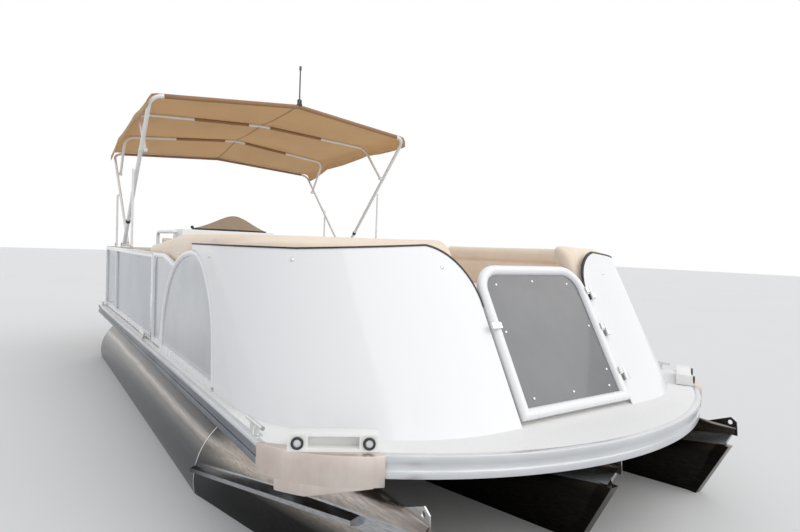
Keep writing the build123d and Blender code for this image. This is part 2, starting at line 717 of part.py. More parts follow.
rail_half = fence_tube / 2
round_radius = rail_half - 0.4
rail_top_z = deck_top + fence_top - rail_half
rail_low_z = deck_top + fence_low
side_gate_front = fence_post + rail_half
side_gate_stern = side_gate_front + side_gate_width
arch_face = make_face(arch_centre_lines + [Line(arch_centre_lines[1] @ 1, arch_centre_lines[0] @ 0)])
for name, side in sides:
    x = side * rail_centre
    plane = Plane(origin=(x, 0, 0), x_dir=(0, 1, 0), z_dir=(1, 0, 0))
    # arch tube, its sill, and the curved rail from it to the first post
    path = Wire([edge for line in arch_centre_lines for edge in (plane * line).edges()])
    start = Plane(origin=path @ 0, z_dir=path % 0)
    arch = sweep(start * Circle(round_radius), path=path)
    sill = rail(x, arch_bow_foot, arch_foot, arch_sill_z)
    dip = pipe([(x, fence_post, rail_top_z), (x, fence_dip_start, rail_top_z),
                (x, fence_dip_end, rail_top_z - fence_dip)], round_radius, fence_dip_bend)
    frame = arch + sill + dip + rail(x, arch_foot, fence_post, rail_low_z) + post(x, fence_post, deck_top,
                                                                                  rail_top_z + rail_half)
    add(f"fence_{name}", frame - block(-2000, 2000, 0, 6000, 0, deck_top))
    # main run of square rails and posts
    run_start = fence_post + rail_half if side < 0 else side_gate_stern
    frame = rail(x, run_start, fence_stern, rail_top_z) + rail(x, run_start, fence_stern, rail_low_z)
    for y in (run_start + rail_half, fence_mid_post, fence_stern - rail_half):
        frame += post(x, y, deck_top, rail_top_z)
    add(f"fence_{name}", frame)
    # clear panels: inside the arch, between the arch and the post, and along the main run
    frame = nodes[f"fence_{name}"][0] + nodes[f"fence_{name}"][1]
    thick = fence_panel_thickness / 2
    arch_panel = extrude(plane * arch_face, amount=thick, both=True) - frame
    forward = prism_x([(arch_foot - 20, rail_low_z), (fence_post, rail_low_z), (fence_post, rail_top_z),
                       (fence_dip_start, rail_top_z), (fence_dip_end, rail_top_z - fence_dip)],
                      x - thick, x + thick)
    forward = forward - extrude(plane * arch_face, amount=40, both=True) - frame
    main = block(x - thick, x + thick, run_start, fence_stern, rail_low_z, rail_top_z) - frame
    add("fence_panels", max(arch_panel.solids(), key=lambda solid: solid.volume))
    add("fence_panels", max(forward.solids(), key=lambda solid: solid.volume))
    add("fence_panels", main)

# Stern fence and gate
stern_rail_y = fence_stern + fence_tube / 2
stern_left = -(fence_half_beam - fence_tube)
stern_gate_outer = stern_gate_inner + stern_gate_width
half = fence_tube / 2


def cross_rail(x0, x1, z):
    """A square rail across the stern."""
    return block(x0, x1, stern_rail_y - half - fence_tube, stern_rail_y - fence_tube + half, z - half, z + half)


stern_frame = cross_rail(stern_left, stern_gate_inner, rail_top_z) + cross_rail(stern_left, stern_gate_inner,
                                                                                rail_low_z)
for x in (stern_gate_inner - half, -350.0):
    stern_frame += block(x - half, x + half, stern_rail_y - half - fence_tube, stern_rail_y - fence_tube + half,
                         deck_top, rail_top_z)
add("stern_fence", stern_frame)
stern_stub = cross_rail(stern_gate_outer, fence_half_beam - fence_tube, rail_top_z) + block(
    stern_gate_outer, stern_gate_outer + fence_tube, stern_rail_y - half - fence_tube,
    stern_rail_y - fence_tube + half, deck_top, rail_top_z)
add("stern_fence", stern_stub)
stern_y = stern_rail_y - fence_tube
stern_panel = block(stern_left + 2, stern_gate_inner - fence_tube, stern_y - fence_panel_thickness / 2,
                    stern_y + fence_panel_thickness / 2, rail_low_z + half, rail_top_z - half)
add("fence_panels", stern_panel - stern_frame)

# Stern gate: hinged on its outboard post, opening inwards
stern_gate_plane = Plane(origin=((stern_gate_inner + stern_gate_outer) / 2, stern_y, deck_top), x_dir=(1, 0, 0),
                         z_dir=(0, -1, 0))
leaf_width = stern_gate_width - 2 * gate_clearance
leaf_low = 30.0
leaf_height = fence_top - leaf_low - leaf_drop
frame, panel = gate_leaf(stern_gate_plane, leaf_width, leaf_height, leaf_low, 60.0, fence_panel_thickness)
add("stern_gate_frame", frame)
add("stern_gate_panel", panel)
stern_hinge = (stern_gate_outer - gate_clearance / 2, stern_y - gate_tube / 2 - 6)
for z in (150.0, 450.0):
    hinge((stern_hinge[0], stern_hinge[1], deck_top + z), (0, 0, 1), (1, 0, 0), 28, 28, "hinge_mounts",
          "stern_gate_frame")
    pad = block(stern_hinge[0] + 6.2, stern_hinge[0] + 28, stern_hinge[1] + 1.5, stern_y - half, deck_top + z,
                deck_top + z + hinge_barrel_height)
    add("hinge_mounts", pad - rod((*stern_hinge, deck_top), (*stern_hinge, deck_top + 600), 9))

# Side gate on the port side, hinged at its forward post, opening inwards
side_mid = side_gate_front + side_gate_width / 2
side_gate_plane = Plane(origin=(rail_centre, side_mid, deck_top), x_dir=(0, 1, 0), z_dir=(1, 0, 0))
frame, panel = gate_leaf(side_gate_plane, side_gate_width - 2 * gate_clearance, leaf_height, leaf_low, 60.0,
                         fence_panel_thickness)
add("side_gate_frame", frame)
add("side_gate_panel", panel)
side_hinge = (rail_centre - gate_tube / 2 - 6, side_gate_front + gate_clearance / 2)
for z in (150.0, 450.0):
    hinge((side_hinge[0], side_hinge[1], deck_top + z), (0, 0, 1), (0, -1, 0), 28, 28, "hinge_mounts",
          "side_gate_frame")
    pad = block(side_hinge[0] + 1.5, rail_centre - half, side_gate_front - 24, side_hinge[1] - 6.2, deck_top + z,
                deck_top + z + hinge_barrel_height)
    add("hinge_mounts", pad - rod((*side_hinge, deck_top), (*side_hinge, deck_top + 600), 9))

# Stern bench
bench_low_x = -(fence_half_beam - fence_tube - 6)
bench_stern = stern_y - half - 6
base = block(bench_low_x, stern_seat_port, stern_seat_front, bench_stern, deck_top, deck_top + seat_base_height)
locker = block(bench_low_x + seat_base_wall + back_thickness, stern_seat_port - seat_base_wall,
               stern_seat_front + seat_base_wall, bench_stern - back_thickness + 22, deck_top + seat_base_wall,
               deck_top + 400)
add("stern_bench_base", base - locker)
back = block(bench_low_x, stern_seat_port, bench_stern - back_thickness, bench_stern,
             deck_top + seat_base_height, deck_top + stern_back_top)
arm = block(bench_low_x, bench_low_x + back_thickness, stern_seat_front, bench_stern - back_thickness,
            deck_top + seat_base_height, deck_top + stern_back_top)
add("stern_bench_back", back + arm)
bench_axis_y = bench_stern - back_thickness - 6 - cushion_thickness
pad_top = deck_top + seat_base_height + cushion_thickness
pad_low = deck_top + seat_base_height
outline = [
    ThreePointArc((bench_axis_y + cushion_thickness, pad_low),
                  (bench_axis_y + cushion_thickness * cos(radians(45)),
                   pad_low + cushion_thickness * sin(radians(45))), (bench_axis_y, pad_top)),
    Polyline((bench_axis_y, pad_top), (stern_seat_front, pad_top), (stern_seat_front, pad_low),
             (bench_axis_y + cushion_thickness, pad_low)),
]
plane = Plane(origin=(bench_low_x + back_thickness + seat_base_wall + lid_clearance, 0, 0), x_dir=(0, 1, 0),
              z_dir=(1, 0, 0))
bench_lid_width = stern_seat_port - seat_base_wall - 2 * lid_clearance - (bench_low_x + back_thickness
                                                                         + seat_base_wall)
add("stern_bench_lid", extrude(plane * make_face(outline), amount=bench_lid_width))

# Helm console
console_top = deck_top + console_height
console_stern = console_front + console_depth
console = prism_x([
    (console_front, deck_top), (console_stern, deck_top),
    (console_stern + console_knee_reach, deck_top + console_height * console_knee),
    (console_stern - console_top_stern, console_top), (console_front + console_top_front, console_top),
], -console_outer, -console_inner)
add("helm_console", console)

# Windscreen: a bowed strip whose top edge rises to a hump
screen_low_x, screen_high_x = screen_margin_outer - console_outer, -console_inner - screen_margin_inner
screen_mid_x = (screen_low_x + screen_high_x) / 2
screen_arc = ThreePointArc((screen_low_x, console_front + screen_end_station),
                           (screen_mid_x, console_front + screen_bow_station),
                           (screen_high_x, console_front + screen_end_station))
screen_plan = make_face([screen_arc, Line(screen_arc @ 1, screen_arc @ 0)])
strip = prism_z(screen_plan - Pos(0, screen_thickness * 1.3, 0) * screen_plan, console_top,
                console_top + screen_height)
edge_z = console_top + screen_edge_height
hump_top = Spline((screen_low_x, edge_z), (screen_mid_x, console_top + screen_height), (screen_high_x, edge_z),
                  tangents=[(1, 0.25), (1, -0.25)])
hump_sides = Polyline((screen_high_x, edge_z), (screen_high_x, console_top), (screen_low_x, console_top),
                      (screen_low_x, edge_z))
hump_plane = Plane(origin=(0, console_front, 0), x_dir=(1, 0, 0), z_dir=(0, -1, 0))
hump = extrude(hump_plane * make_face([hump_top, hump_sides]), amount=-console_depth)
add("windscreen", strip & hump)

# Steering wheel on its shaft, out of the console's slanted face
wheel_axis = (0, cos(radians(wheel_tilt)), sin(radians(wheel_tilt)))
wheel_centre_x = -(console_outer + console_inner) / 2
hub_base = (wheel_centre_x, console_stern - 20, deck_top + console_height * wheel_mount_share)
hub_end = tuple(b + wheel_shaft * a for b, a in zip(hub_base, wheel_axis))
shaft_end = tuple(b + wheel_collar * a for b, a in zip(hub_base, wheel_axis))
add("helm_fittings", rod(hub_base, shaft_end, 22) - console)
wheel_plane = Plane(origin=hub_end, x_dir=(1, 0, 0), z_dir=wheel_axis)
rim = Torus(wheel_radius, wheel_rim_radius)
hub = Pos(0, 0, -wheel_hub_depth) * Solid.make_cylinder(34, wheel_hub_depth + 12)
spokes = None
for turn in (90, 210, 330):
    spoke = Rot(0, 0, turn) * block(20, wheel_radius, -11, 11, -6, 6)
    spokes = spoke if spokes is None else spokes + spoke
add("steering_wheel", wheel_plane.location * (rim + hub + spokes))

# Throttle box on the aisle side of the console, its lever and grip
throttle_y, throttle_z = console_stern - 60, deck_top + console_height * console_knee
throttle_x = -console_inner
lever_x, grip_x = throttle_x + throttle_box_width + 9, throttle_x + throttle_box_width + 80
lever_top = (throttle_y - 30, throttle_z + throttle_lever)
add("helm_fittings", block(throttle_x, throttle_x + throttle_box_width, throttle_y - 60, throttle_y + 40,
                           throttle_z - 70, throttle_z + 30))
lever = rod((lever_x - 9, throttle_y, throttle_z), (lever_x + 9, throttle_y, throttle_z), 22)
lever += rod((lever_x, throttle_y, throttle_z), (lever_x, *lever_top), 6)
lever += rod((lever_x - 9, *lever_top), (grip_x, *lever_top), 12)
add("helm_fittings", lever)

# White grab rail on the console's outboard side
rail_x = -console_outer - helm_rail_off
rail_top, rail_low = deck_top + helm_rail_top, deck_top + helm_rail_low
add("helm_rail", pipe([
    (-console_outer, helm_rail_front, rail_top), (rail_x, helm_rail_front, rail_top),
    (rail_x, helm_rail_stern, rail_top), (rail_x, helm_rail_stern, rail_low),
    (rail_x, helm_rail_low_front, rail_low), (-console_outer, helm_rail_low_front, rail_low)],
    helm_rail_tube / 2, helm_rail_bend))

# Captain's chair on a swivel pedestal
seat_low = deck_top + chair_seat_top - cushion_thickness
pillar_top = seat_low - chair_pillar_drop
add("chair_pedestal", Pos(chair_x, chair_station, deck_top) * (
    Solid.make_cylinder(150, 12) + Solid.make_cylinder(38, pillar_top - deck_top)))
half_seat = chair_seat_width / 2
chair_front, chair_stern = chair_station - chair_seat_depth / 2, chair_station + chair_seat_depth / 2
swivel_low = pillar_top + running_gap
plate_low = seat_low - chair_pillar_drop / 2
add("chair_frame", Pos(chair_x, chair_station, swivel_low) * Solid.make_cylinder(90, plate_low - swivel_low)
    + block(chair_x - half_seat + chair_plate_margin, chair_x + half_seat - chair_plate_margin,
            chair_front + chair_plate_margin, chair_stern - chair_plate_margin, plate_low, seat_low))
add("chair_cushions", block(chair_x - half_seat, chair_x + half_seat, chair_front, chair_stern, seat_low,
                            seat_low + cushion_thickness))
add("chair_cushions", block(chair_x - half_seat, chair_x + half_seat, chair_stern - cushion_thickness,
                            chair_stern, deck_top + chair_seat_top, deck_top + chair_back_top))
for side in (1, -1):
    edge = chair_x + side * (half_seat + running_gap)
    arm = edge + side * chair_arm_width
    add("chair_frame", block(edge, arm, chair_arm_front, chair_arm_stern, seat_low + 40, seat_low + 60)
        + block(edge, arm, chair_arm_stern - 70, chair_arm_stern, seat_low + 40, seat_low + 240)
        + block(edge, arm, chair_arm_front, chair_arm_stern, seat_low + 215, seat_low + 240))

# Bimini
foot_z = deck_top + foot_height


def hoop(pivot, angle, corner, crown, half_width, radius, start):
    """A gabled hoop of tube in the plane that leans at an angle: leg, corner, crown, corner, leg."""
    def point(across, along):
        dy, dz = polar(along, angle)
        return (across, pivot[0] + dy, pivot[1] + dz)
    rise = crown - corner
    points = [point(half_width, start), point(half_width, corner), point(0, corner + rise),
              point(-half_width, corner), point(-half_width, start)]
    return pipe(points, radius, hoop_bend_radius)


front_radius = front_hoop_tube / 2
inner_radius = inner_tube / 2
rear_hoop_x = front_hoop_x - front_radius - hoop_clearance - inner_radius
third_hoop_x = rear_hoop_x - 2 * inner_radius - hoop_clearance
foot = (foot_station, foot_z)
eye_radius = 17.0
leg_start = eye_radius - 1
pin_radius = 5.0
add("bimini_front_hoop", hoop(foot, front_hoop_angle, front_hoop_corner, front_hoop_crown, front_hoop_x,
                              front_radius, leg_start + 10))
add("bimini_rear_hoop", hoop(foot, rear_hoop_angle, rear_hoop_corner, rear_hoop_crown, rear_hoop_x,
                             inner_radius, leg_start + 10))


def leg_point(pivot, angle, along):
    """A point on a leg, as station and height."""
    dy, dz = polar(along, angle)
    return (pivot[0] + dy, pivot[1] + dz)


def eye(x0, x1, centre, radius, bore):
    """A flat eye across the boat, with a bore."""
    low, high = sorted((x0, x1))
    ring = rod((low, *centre), (high, *centre), radius)
    if bore:
        ring -= rod((low - 1, *centre), (high + 1, *centre), bore)
    return ring


second_pivot = leg_point(foot, front_hoop_angle, second_hoop_pivot)
third_pivot = leg_point(foot, rear_hoop_angle, third_hoop_pivot)
add("bimini_second_hoop", hoop(second_pivot, second_hoop_angle, second_hoop_corner, second_hoop_crown,
                               rear_hoop_x, inner_radius, leg_start))
add("bimini_third_hoop", hoop(third_pivot, third_hoop_angle, third_hoop_corner, third_hoop_crown,
                              third_hoop_x, inner_radius, leg_start))
bore_radius = pin_radius + 0.05
for side in (1, -1):
    fx, rx, tx = side * front_hoop_x, side * rear_hoop_x, side * third_hoop_x
    # feet: a plate on the rail, an upright and a pin through both legs' eyes
    pin_out = fx + side * (front_radius + 4)
    pin_in = rx - side * (inner_radius + 4)
    pin = rod((pin_out + side * 8, *foot), (pin_in - side * 2, *foot), pin_radius)
    low, high = sorted((pin_in - side * 4, side * fence_half_beam))
    plate = block(low, high, foot_station - 45, foot_station + 45, deck_top + fence_top, deck_top + fence_top + 5)
    low, high = sorted((pin_out + side * 1, pin_out + side * 8))
    upright = block(low, high, foot_station - 18, foot_station + 18, deck_top + fence_top + 5, foot_z + 18)
    add("bimini_feet", plate + upright + pin)
    add("bimini_front_hoop", eye(fx - side * front_radius, fx + side * front_radius, foot, eye_radius,
                                 bore_radius))
    add("bimini_rear_hoop", eye(rx - side * inner_radius, rx + side * inner_radius, foot, eye_radius,
                                bore_radius))
    # jaw pins that carry the inner hoops
    add("bimini_front_hoop", rod((fx - side * (front_radius - 6), *second_pivot),
                                 (rx - side * (inner_radius + 2), *second_pivot), pin_radius))
    add("bimini_second_hoop", eye(rx - side * inner_radius, rx + side * inner_radius, second_pivot, eye_radius,
                                  bore_radius))
    add("bimini_rear_hoop", rod((rx - side * (inner_radius - 6), *third_pivot),
                                (tx - side * (inner_radius + 2), *third_pivot), pin_radius))
    add("bimini_third_hoop", eye(tx - side * inner_radius, tx + side * inner_radius, third_pivot, eye_radius,
                                 bore_radius))
    # braces from the rail, each on a pin in a lug
    for node, station, angle, leg_x, leg_radius in (
            ("bimini_front_braces", brace_front_station, 180 - front_hoop_angle, fx, front_radius),
            ("bimini_rear_hoop", brace_rear_station, rear_hoop_angle, rx, inner_radius)):
        brace_half = brace_tube / 2
        brace_x = leg_x + side * (leg_radius + hoop_clearance + brace_half)
        brace_pivot = (station, deck_top + fence_top + 24)
        top = (station, foot_z + abs(foot_station - station) * tan(radians(angle)))
        brace = rod((brace_x, *brace_pivot), (brace_x, *top), brace_half)
        brace += eye(brace_x - brace_half, brace_x + brace_half, brace_pivot, brace_half + 3, 0)
        lug_face, lug_back = brace_x + side * (brace_half + 1), brace_x + side * (brace_half + 6)
        lug_pin = rod((lug_back, *brace_pivot), (brace_x - side * (brace_half + 2), *brace_pivot), pin_radius - 1)
        brace -= rod((lug_back, *brace_pivot), (brace_x - side * 40, *brace_pivot), pin_radius - 1 + 0.05)
        if node == "bimini_rear_hoop":
            brace += rod((leg_x + side * (leg_radius - 4), *top), (brace_x, *top), 7)
        add(node, brace)
        low, high = sorted((lug_face, lug_back))
        lug = block(low, high, station - 12, station + 12, deck_top + fence_top + 4, brace_pivot[1] + 12)
        low, high = sorted((brace_x - side * brace_half, side * fence_half_beam))
        lug += block(low, high, station - 22, station + 22, deck_top + fence_top, deck_top + fence_top + 4)
        add("bimini_feet", lug + lug_pin)

# Canopy: a closed sheet over the four crowns, with side hems
hoops = [
    (foot, front_hoop_angle, front_hoop_corner, front_hoop_crown, front_radius),
    (second_pivot, second_hoop_angle, second_hoop_corner, second_hoop_crown, inner_radius),
    (third_pivot, third_hoop_angle, third_hoop_corner, third_hoop_crown, inner_radius),
    (foot, rear_hoop_angle, rear_hoop_corner, rear_hoop_crown, inner_radius),
]
canopy_half = front_hoop_x + front_radius + 2


def canopy_section(station, corner_z, crown_z):
    """A gabled strip with hems, as a closed face across the boat."""
    t = canopy_thickness
    outline = [
        (-canopy_half - t, corner_z - canopy_hem_drop), (-canopy_half - t, corner_z + t), (0, crown_z + t),
        (canopy_half + t, corner_z + t), (canopy_half + t, corner_z - canopy_hem_drop),
        (canopy_half, corner_z - canopy_hem_drop), (canopy_half, corner_z), (0, crown_z),
        (-canopy_half, corner_z), (-canopy_half, corner_z - canopy_hem_drop),
    ]
    plane = Plane(origin=(0, station, 0), x_dir=(1, 0, 0), z_dir=(0, -1, 0))
    return plane * make_face(Polyline(*outline, close=True))


sections = []
for index, (pivot, angle, corner, crown, radius) in enumerate(hoops):
    crown_y, crown_z = leg_point(pivot, angle, crown)
    corner_y, corner_z = leg_point(pivot, angle, corner)
    lift = radius + canopy_lift
    sections.append(canopy_section((crown_y + corner_y) / 2, corner_z + lift, crown_z + lift))
add("canopy", loft(sections, ruled=True))

# All-round light on the front crown: a base, a knuckle and a mast that folds
gable = atan2(front_hoop_crown - front_hoop_corner, front_hoop_x)
crown_y, crown_z = leg_point(foot, front_hoop_angle, front_hoop_crown - hoop_bend_radius * (1 / cos(gable) - 1))
light_z = crown_z + front_radius
light_pivot = (crown_y, light_z + 34)
saddle = block(-16, 16, crown_y - 22, crown_y + 22, light_z - 8, light_z + 12)
add("light_base", saddle - rod((-20, crown_y, crown_z), (20, crown_y, crown_z), front_radius + running_gap)
    + block(-16, -7, crown_y - 12, crown_y + 12, light_z + 12, light_z + 46)
    + block(7, 16, crown_y - 12, crown_y + 12, light_z + 12, light_z + 46)
    + rod((-16, *light_pivot), (16, *light_pivot), 3))
add("light_mast", (block(-6, 6, crown_y - 9, crown_y + 9, light_z + 24, light_z + 56)
                   + rod((0, crown_y, light_z + 56), (0, crown_y, light_z + mast_height), 6)
                   + rod((0, crown_y, light_z + mast_height), (0, crown_y, light_z + mast_height + 30), 11))
    - rod((-20, *light_pivot), (20, *light_pivot), 3.05))

# Motor pod and transom at the stern of the centre tube
pod_foot = (transom_station - transom_lean, pod_bottom)
pod = prism_x([(tube_stern, pod_bottom - pod_deadrise), pod_foot, (transom_station, pod_top),
               (transom_station - 40, pod_top), (tube_stern, pod_top - 40)], -pod_width / 2, pod_width / 2)
add("motor_pod", pod)

# Outboard, drawn upright about its tilt pivot and then tilted to rest
pivot_y, pivot_z = transom_station + 80, motor_pivot_height
bracket = None
for side in (1, -1):
    low_z = pivot_z - bracket_reach
    low_front = transom_station - transom_lean * (pod_top - low_z) / (pod_top - pod_bottom) + bracket_seat
    top_front = transom_station + bracket_seat
    cheek = prism_x([(low_front, low_z), (top_front, pod_top), (top_front, pivot_z + bracket_top),
                     (pivot_y + 16, pivot_z + bracket_top), (pivot_y + 16, pivot_z - 40), (low_front + 40, low_z)],
                    *sorted((side * 120, side * 150)))
    bracket = cheek if bracket is None else bracket + cheek
tilt_pin = rod((-150, pivot_y, pivot_z), (150, pivot_y, pivot_z), 14)
add("outboard_bracket", bracket + tilt_pin)


def tilted(shape):
    """Turn an upright motor piece about the tilt pin to its stored angle."""
    return Pos(0, pivot_y, pivot_z) * Rot(motor_tilt_at_rest, 0, 0) * Pos(0, -pivot_y, -pivot_z) * shape


swivel_y = pivot_y + 60
swivel = (block(-112, 112, pivot_y - 26, pivot_y + 26, pivot_z - 26, pivot_z + 26)
          + rod((0, swivel_y, pivot_z - 200), (0, swivel_y, pivot_z + 26), 38)
          - rod((-113, pivot_y, pivot_z), (113, pivot_y, pivot_z), 14.05)
          - rod((0, swivel_y, pivot_z - 201), (0, swivel_y, pivot_z + 27), 18.05))
add("outboard_swivel", tilted(swivel))
steer_pin = rod((0, swivel_y, pivot_z - 212), (0, swivel_y, pivot_z + 44), 18)
saddle_top = block(-60, 60, swivel_y - 40, swivel_y + 150, pivot_z + 27, pivot_z + cowl_lift)
saddle_low = block(-60, 60, swivel_y - 30, swivel_y + 130, pivot_z - 240, pivot_z - 201)
add("outboard_leg", tilted(
    steer_pin + saddle_top + saddle_low
    + block(-70, 70, swivel_y + 45, swivel_y + 190, pivot_z - 560, pivot_z + cowl_lift)
    + block(-110, 110, swivel_y + 10, swivel_y + 330, pivot_z - 560, pivot_z - 545)))
cowl = block(-180, 180, swivel_y - 100, swivel_y + 380, pivot_z + cowl_lift, pivot_z + cowl_lift + cowl_height)
cowl = fillet(cowl.edges().filter_by(Axis.Z), 110)
cowl = fillet(cowl.edges().group_by(Axis.Z)[-1], 70)
add("outboard_cowl", tilted(cowl))
gear_z = pivot_z - 560 - propeller_radius - 18
gearcase = (block(-26, 26, swivel_y + 60, swivel_y + 190, gear_z, pivot_z - 560)
            + rod((0, swivel_y + 10, gear_z), (0, swivel_y + 230, gear_z), 50)
            + prism_x([(swivel_y + 60, gear_z), (swivel_y + 190, gear_z), (swivel_y + 170, gear_z - 170),
                       (swivel_y + 120, gear_z - 170)], -9, 9))
add("outboard_leg", tilted(gearcase))
prop_y = swivel_y + 231
hub = rod((0, prop_y, gear_z), (0, prop_y + 95, gear_z), 34)
blades = None
for turn in (0, 120, 240):
    blade = Pos(0, prop_y + 48, gear_z) * Rot(0, turn, 0) * Pos(0, 0, propeller_radius * 0.56) * Rot(
        0, 0, 28) * Box(110, 7, propeller_radius * 0.86)
    blades = blade if blades is None else blades + blade
add("propeller", tilted(hub + blades))

# Boarding ladder, folded up against the stern by the gate
ladder_x = (stern_gate_inner + stern_gate_outer) / 2
ladder_hinge = (deck_length + 26, deck_top - 20)
for side in (1, -1):
    x = ladder_x + side * 150
    add("hinge_mounts", block(x - 22, x - 12, deck_length + 0.2, deck_length + 40, deck_top - 60, deck_top + 2)
        + block(x + 12, x + 22, deck_length + 0.2, deck_length + 40, deck_top - 60, deck_top + 2)
        + rod((x - 22, *ladder_hinge), (x + 22, *ladder_hinge), 6))
ladder = None
for side in (1, -1):
    x = ladder_x + side * 150
    stile = rod((x, *ladder_hinge), (x, ladder_hinge[0], ladder_hinge[1] + 640), 11) - rod(
        (x - 23, *ladder_hinge), (x + 23, *ladder_hinge), 6.05)
    stile += eye(x - 11, x + 11, ladder_hinge, 13, 6.05)
    ladder = stile if ladder is None else ladder + stile
for z in (150.0, 380.0, 610.0):
    ladder += block(ladder_x - 150, ladder_x + 150, ladder_hinge[0] - 12, ladder_hinge[0] + 30,
                    ladder_hinge[1] + z, ladder_hinge[1] + z + 24)
add("ladder", ladder)

# Place the row's origin on the ground under the middle of the boat, and write every node
boxes = [solid.bounding_box() for solids in nodes.values() for solid in solids]
low_y = min(box.min.Y for box in boxes)
high_y = max(box.max.Y for box in boxes)
origin_station = (low_y + high_y) / 2
print("origin station", round(origin_station, 3))
for name, solids in nodes.items():
    moved = [Pos(0, -origin_station, 0) * solid for solid in solids]
    export_step(Compound(children=moved), f"parts/{name}.step")
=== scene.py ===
"""Dress the pontoon boat: finishes, padded seats, canopy, fittings, stage and camera.

Every place is given from the deck's front edge: metres to port, metres aft, metres above the deck.
"""

from __future__ import annotations

import json
import logging
import math
from collections.abc import Callable, Iterable, Sequence
from dataclasses import dataclass, field
from enum import Enum
from functools import cache, cached_property

import bmesh
import bpy
from mathutils import Matrix, Vector, noise

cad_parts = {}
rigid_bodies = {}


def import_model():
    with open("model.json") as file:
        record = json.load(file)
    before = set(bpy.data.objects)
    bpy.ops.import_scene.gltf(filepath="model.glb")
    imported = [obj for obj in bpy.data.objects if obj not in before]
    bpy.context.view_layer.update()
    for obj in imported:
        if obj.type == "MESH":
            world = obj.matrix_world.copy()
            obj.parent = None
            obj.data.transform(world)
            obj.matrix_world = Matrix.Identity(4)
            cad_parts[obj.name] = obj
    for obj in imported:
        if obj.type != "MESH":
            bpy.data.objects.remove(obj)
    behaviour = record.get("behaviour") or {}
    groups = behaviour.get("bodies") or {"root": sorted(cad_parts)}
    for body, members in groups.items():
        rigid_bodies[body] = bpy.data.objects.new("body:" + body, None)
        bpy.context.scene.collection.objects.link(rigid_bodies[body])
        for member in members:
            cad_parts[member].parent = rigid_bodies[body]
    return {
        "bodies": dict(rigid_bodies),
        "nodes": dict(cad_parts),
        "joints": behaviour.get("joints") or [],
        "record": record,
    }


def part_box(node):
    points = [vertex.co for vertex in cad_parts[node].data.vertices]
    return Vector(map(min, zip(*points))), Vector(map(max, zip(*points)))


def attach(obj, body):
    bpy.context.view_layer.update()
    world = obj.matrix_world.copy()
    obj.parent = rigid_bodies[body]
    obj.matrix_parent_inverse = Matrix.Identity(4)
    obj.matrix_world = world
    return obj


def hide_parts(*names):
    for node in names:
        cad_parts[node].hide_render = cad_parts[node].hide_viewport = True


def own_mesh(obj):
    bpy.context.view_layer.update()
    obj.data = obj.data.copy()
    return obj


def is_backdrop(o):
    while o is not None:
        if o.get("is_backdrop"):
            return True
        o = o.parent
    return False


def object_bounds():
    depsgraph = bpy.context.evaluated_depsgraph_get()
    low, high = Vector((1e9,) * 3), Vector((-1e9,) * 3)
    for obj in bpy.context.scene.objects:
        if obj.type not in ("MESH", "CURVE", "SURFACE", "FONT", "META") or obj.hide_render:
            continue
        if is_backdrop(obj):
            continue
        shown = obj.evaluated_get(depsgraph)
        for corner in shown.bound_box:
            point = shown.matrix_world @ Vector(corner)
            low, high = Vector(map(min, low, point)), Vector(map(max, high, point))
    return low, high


LOG = logging.getLogger("boat")
Pair = tuple[float, float]
Triple = tuple[float, float, float]
Number = "Wire | float"
Plan = Callable[[float, float], Pair]
SIDES = (("port", 1), ("starboard", -1))


# Node trees


@dataclass
class Tree:
    """A node tree, built up node by node."""

    tree: bpy.types.NodeTree

    def node(self, kind: str, settings: dict | None = None, values: dict | None = None) -> bpy.types.Node:
        """Add any node.

        Args:
            kind: The node's type.
            settings: Its properties, set first.
            values: By socket name or index: numbers, colours, wires, sockets, or nodes for their first output.

        Returns:
            The new node.
        """
        node = self.tree.nodes.new(kind)
        for key, value in (settings or {}).items():
            setattr(node, key, value)
        for key, value in (values or {}).items():
            if isinstance(value, Wire):
                value = value.socket
            elif isinstance(value, bpy.types.Node):
                value = value.outputs[0]
            if isinstance(value, bpy.types.NodeSocket):
                self.tree.links.new(value, node.inputs[key])
            else:
                node.inputs[key].default_value = value
        return node


class Wire:
    """A shader socket that takes part in Python arithmetic."""

    def __init__(self, bench: Bench, socket: bpy.types.NodeSocket) -> None:
        """Keep the socket and the bench whose tree it is in."""
        self.bench, self.socket = bench, socket

    def __add__(self, other: Number) -> Wire:
        """Sum."""
        return self.bench.maths("ADD", self, other)

    def __sub__(self, other: Number) -> Wire:
        """Difference."""
        return self.bench.maths("SUBTRACT", self, other)

    def __mul__(self, other: Number) -> Wire:
        """Product."""
        return self.bench.maths("MULTIPLY", self, other)

    def size(self) -> Wire:
        """The value without its sign."""
        return self.bench.maths("ABSOLUTE", self)

    def sine(self) -> Wire:
        """Sine."""
        return self.bench.maths("SINE", self)

    def between(self, low: float, high: float, start: float = 0.0, end: float = 1.0) -> Wire:
        """Smooth step from start to end while the value goes from low to high."""
        values = {"Value": self, "From Min": low, "From Max": high, "To Min": start, "To Max": end}
        return self.bench.wire("ShaderNodeMapRange", {"interpolation_type": "SMOOTHSTEP"}, values)


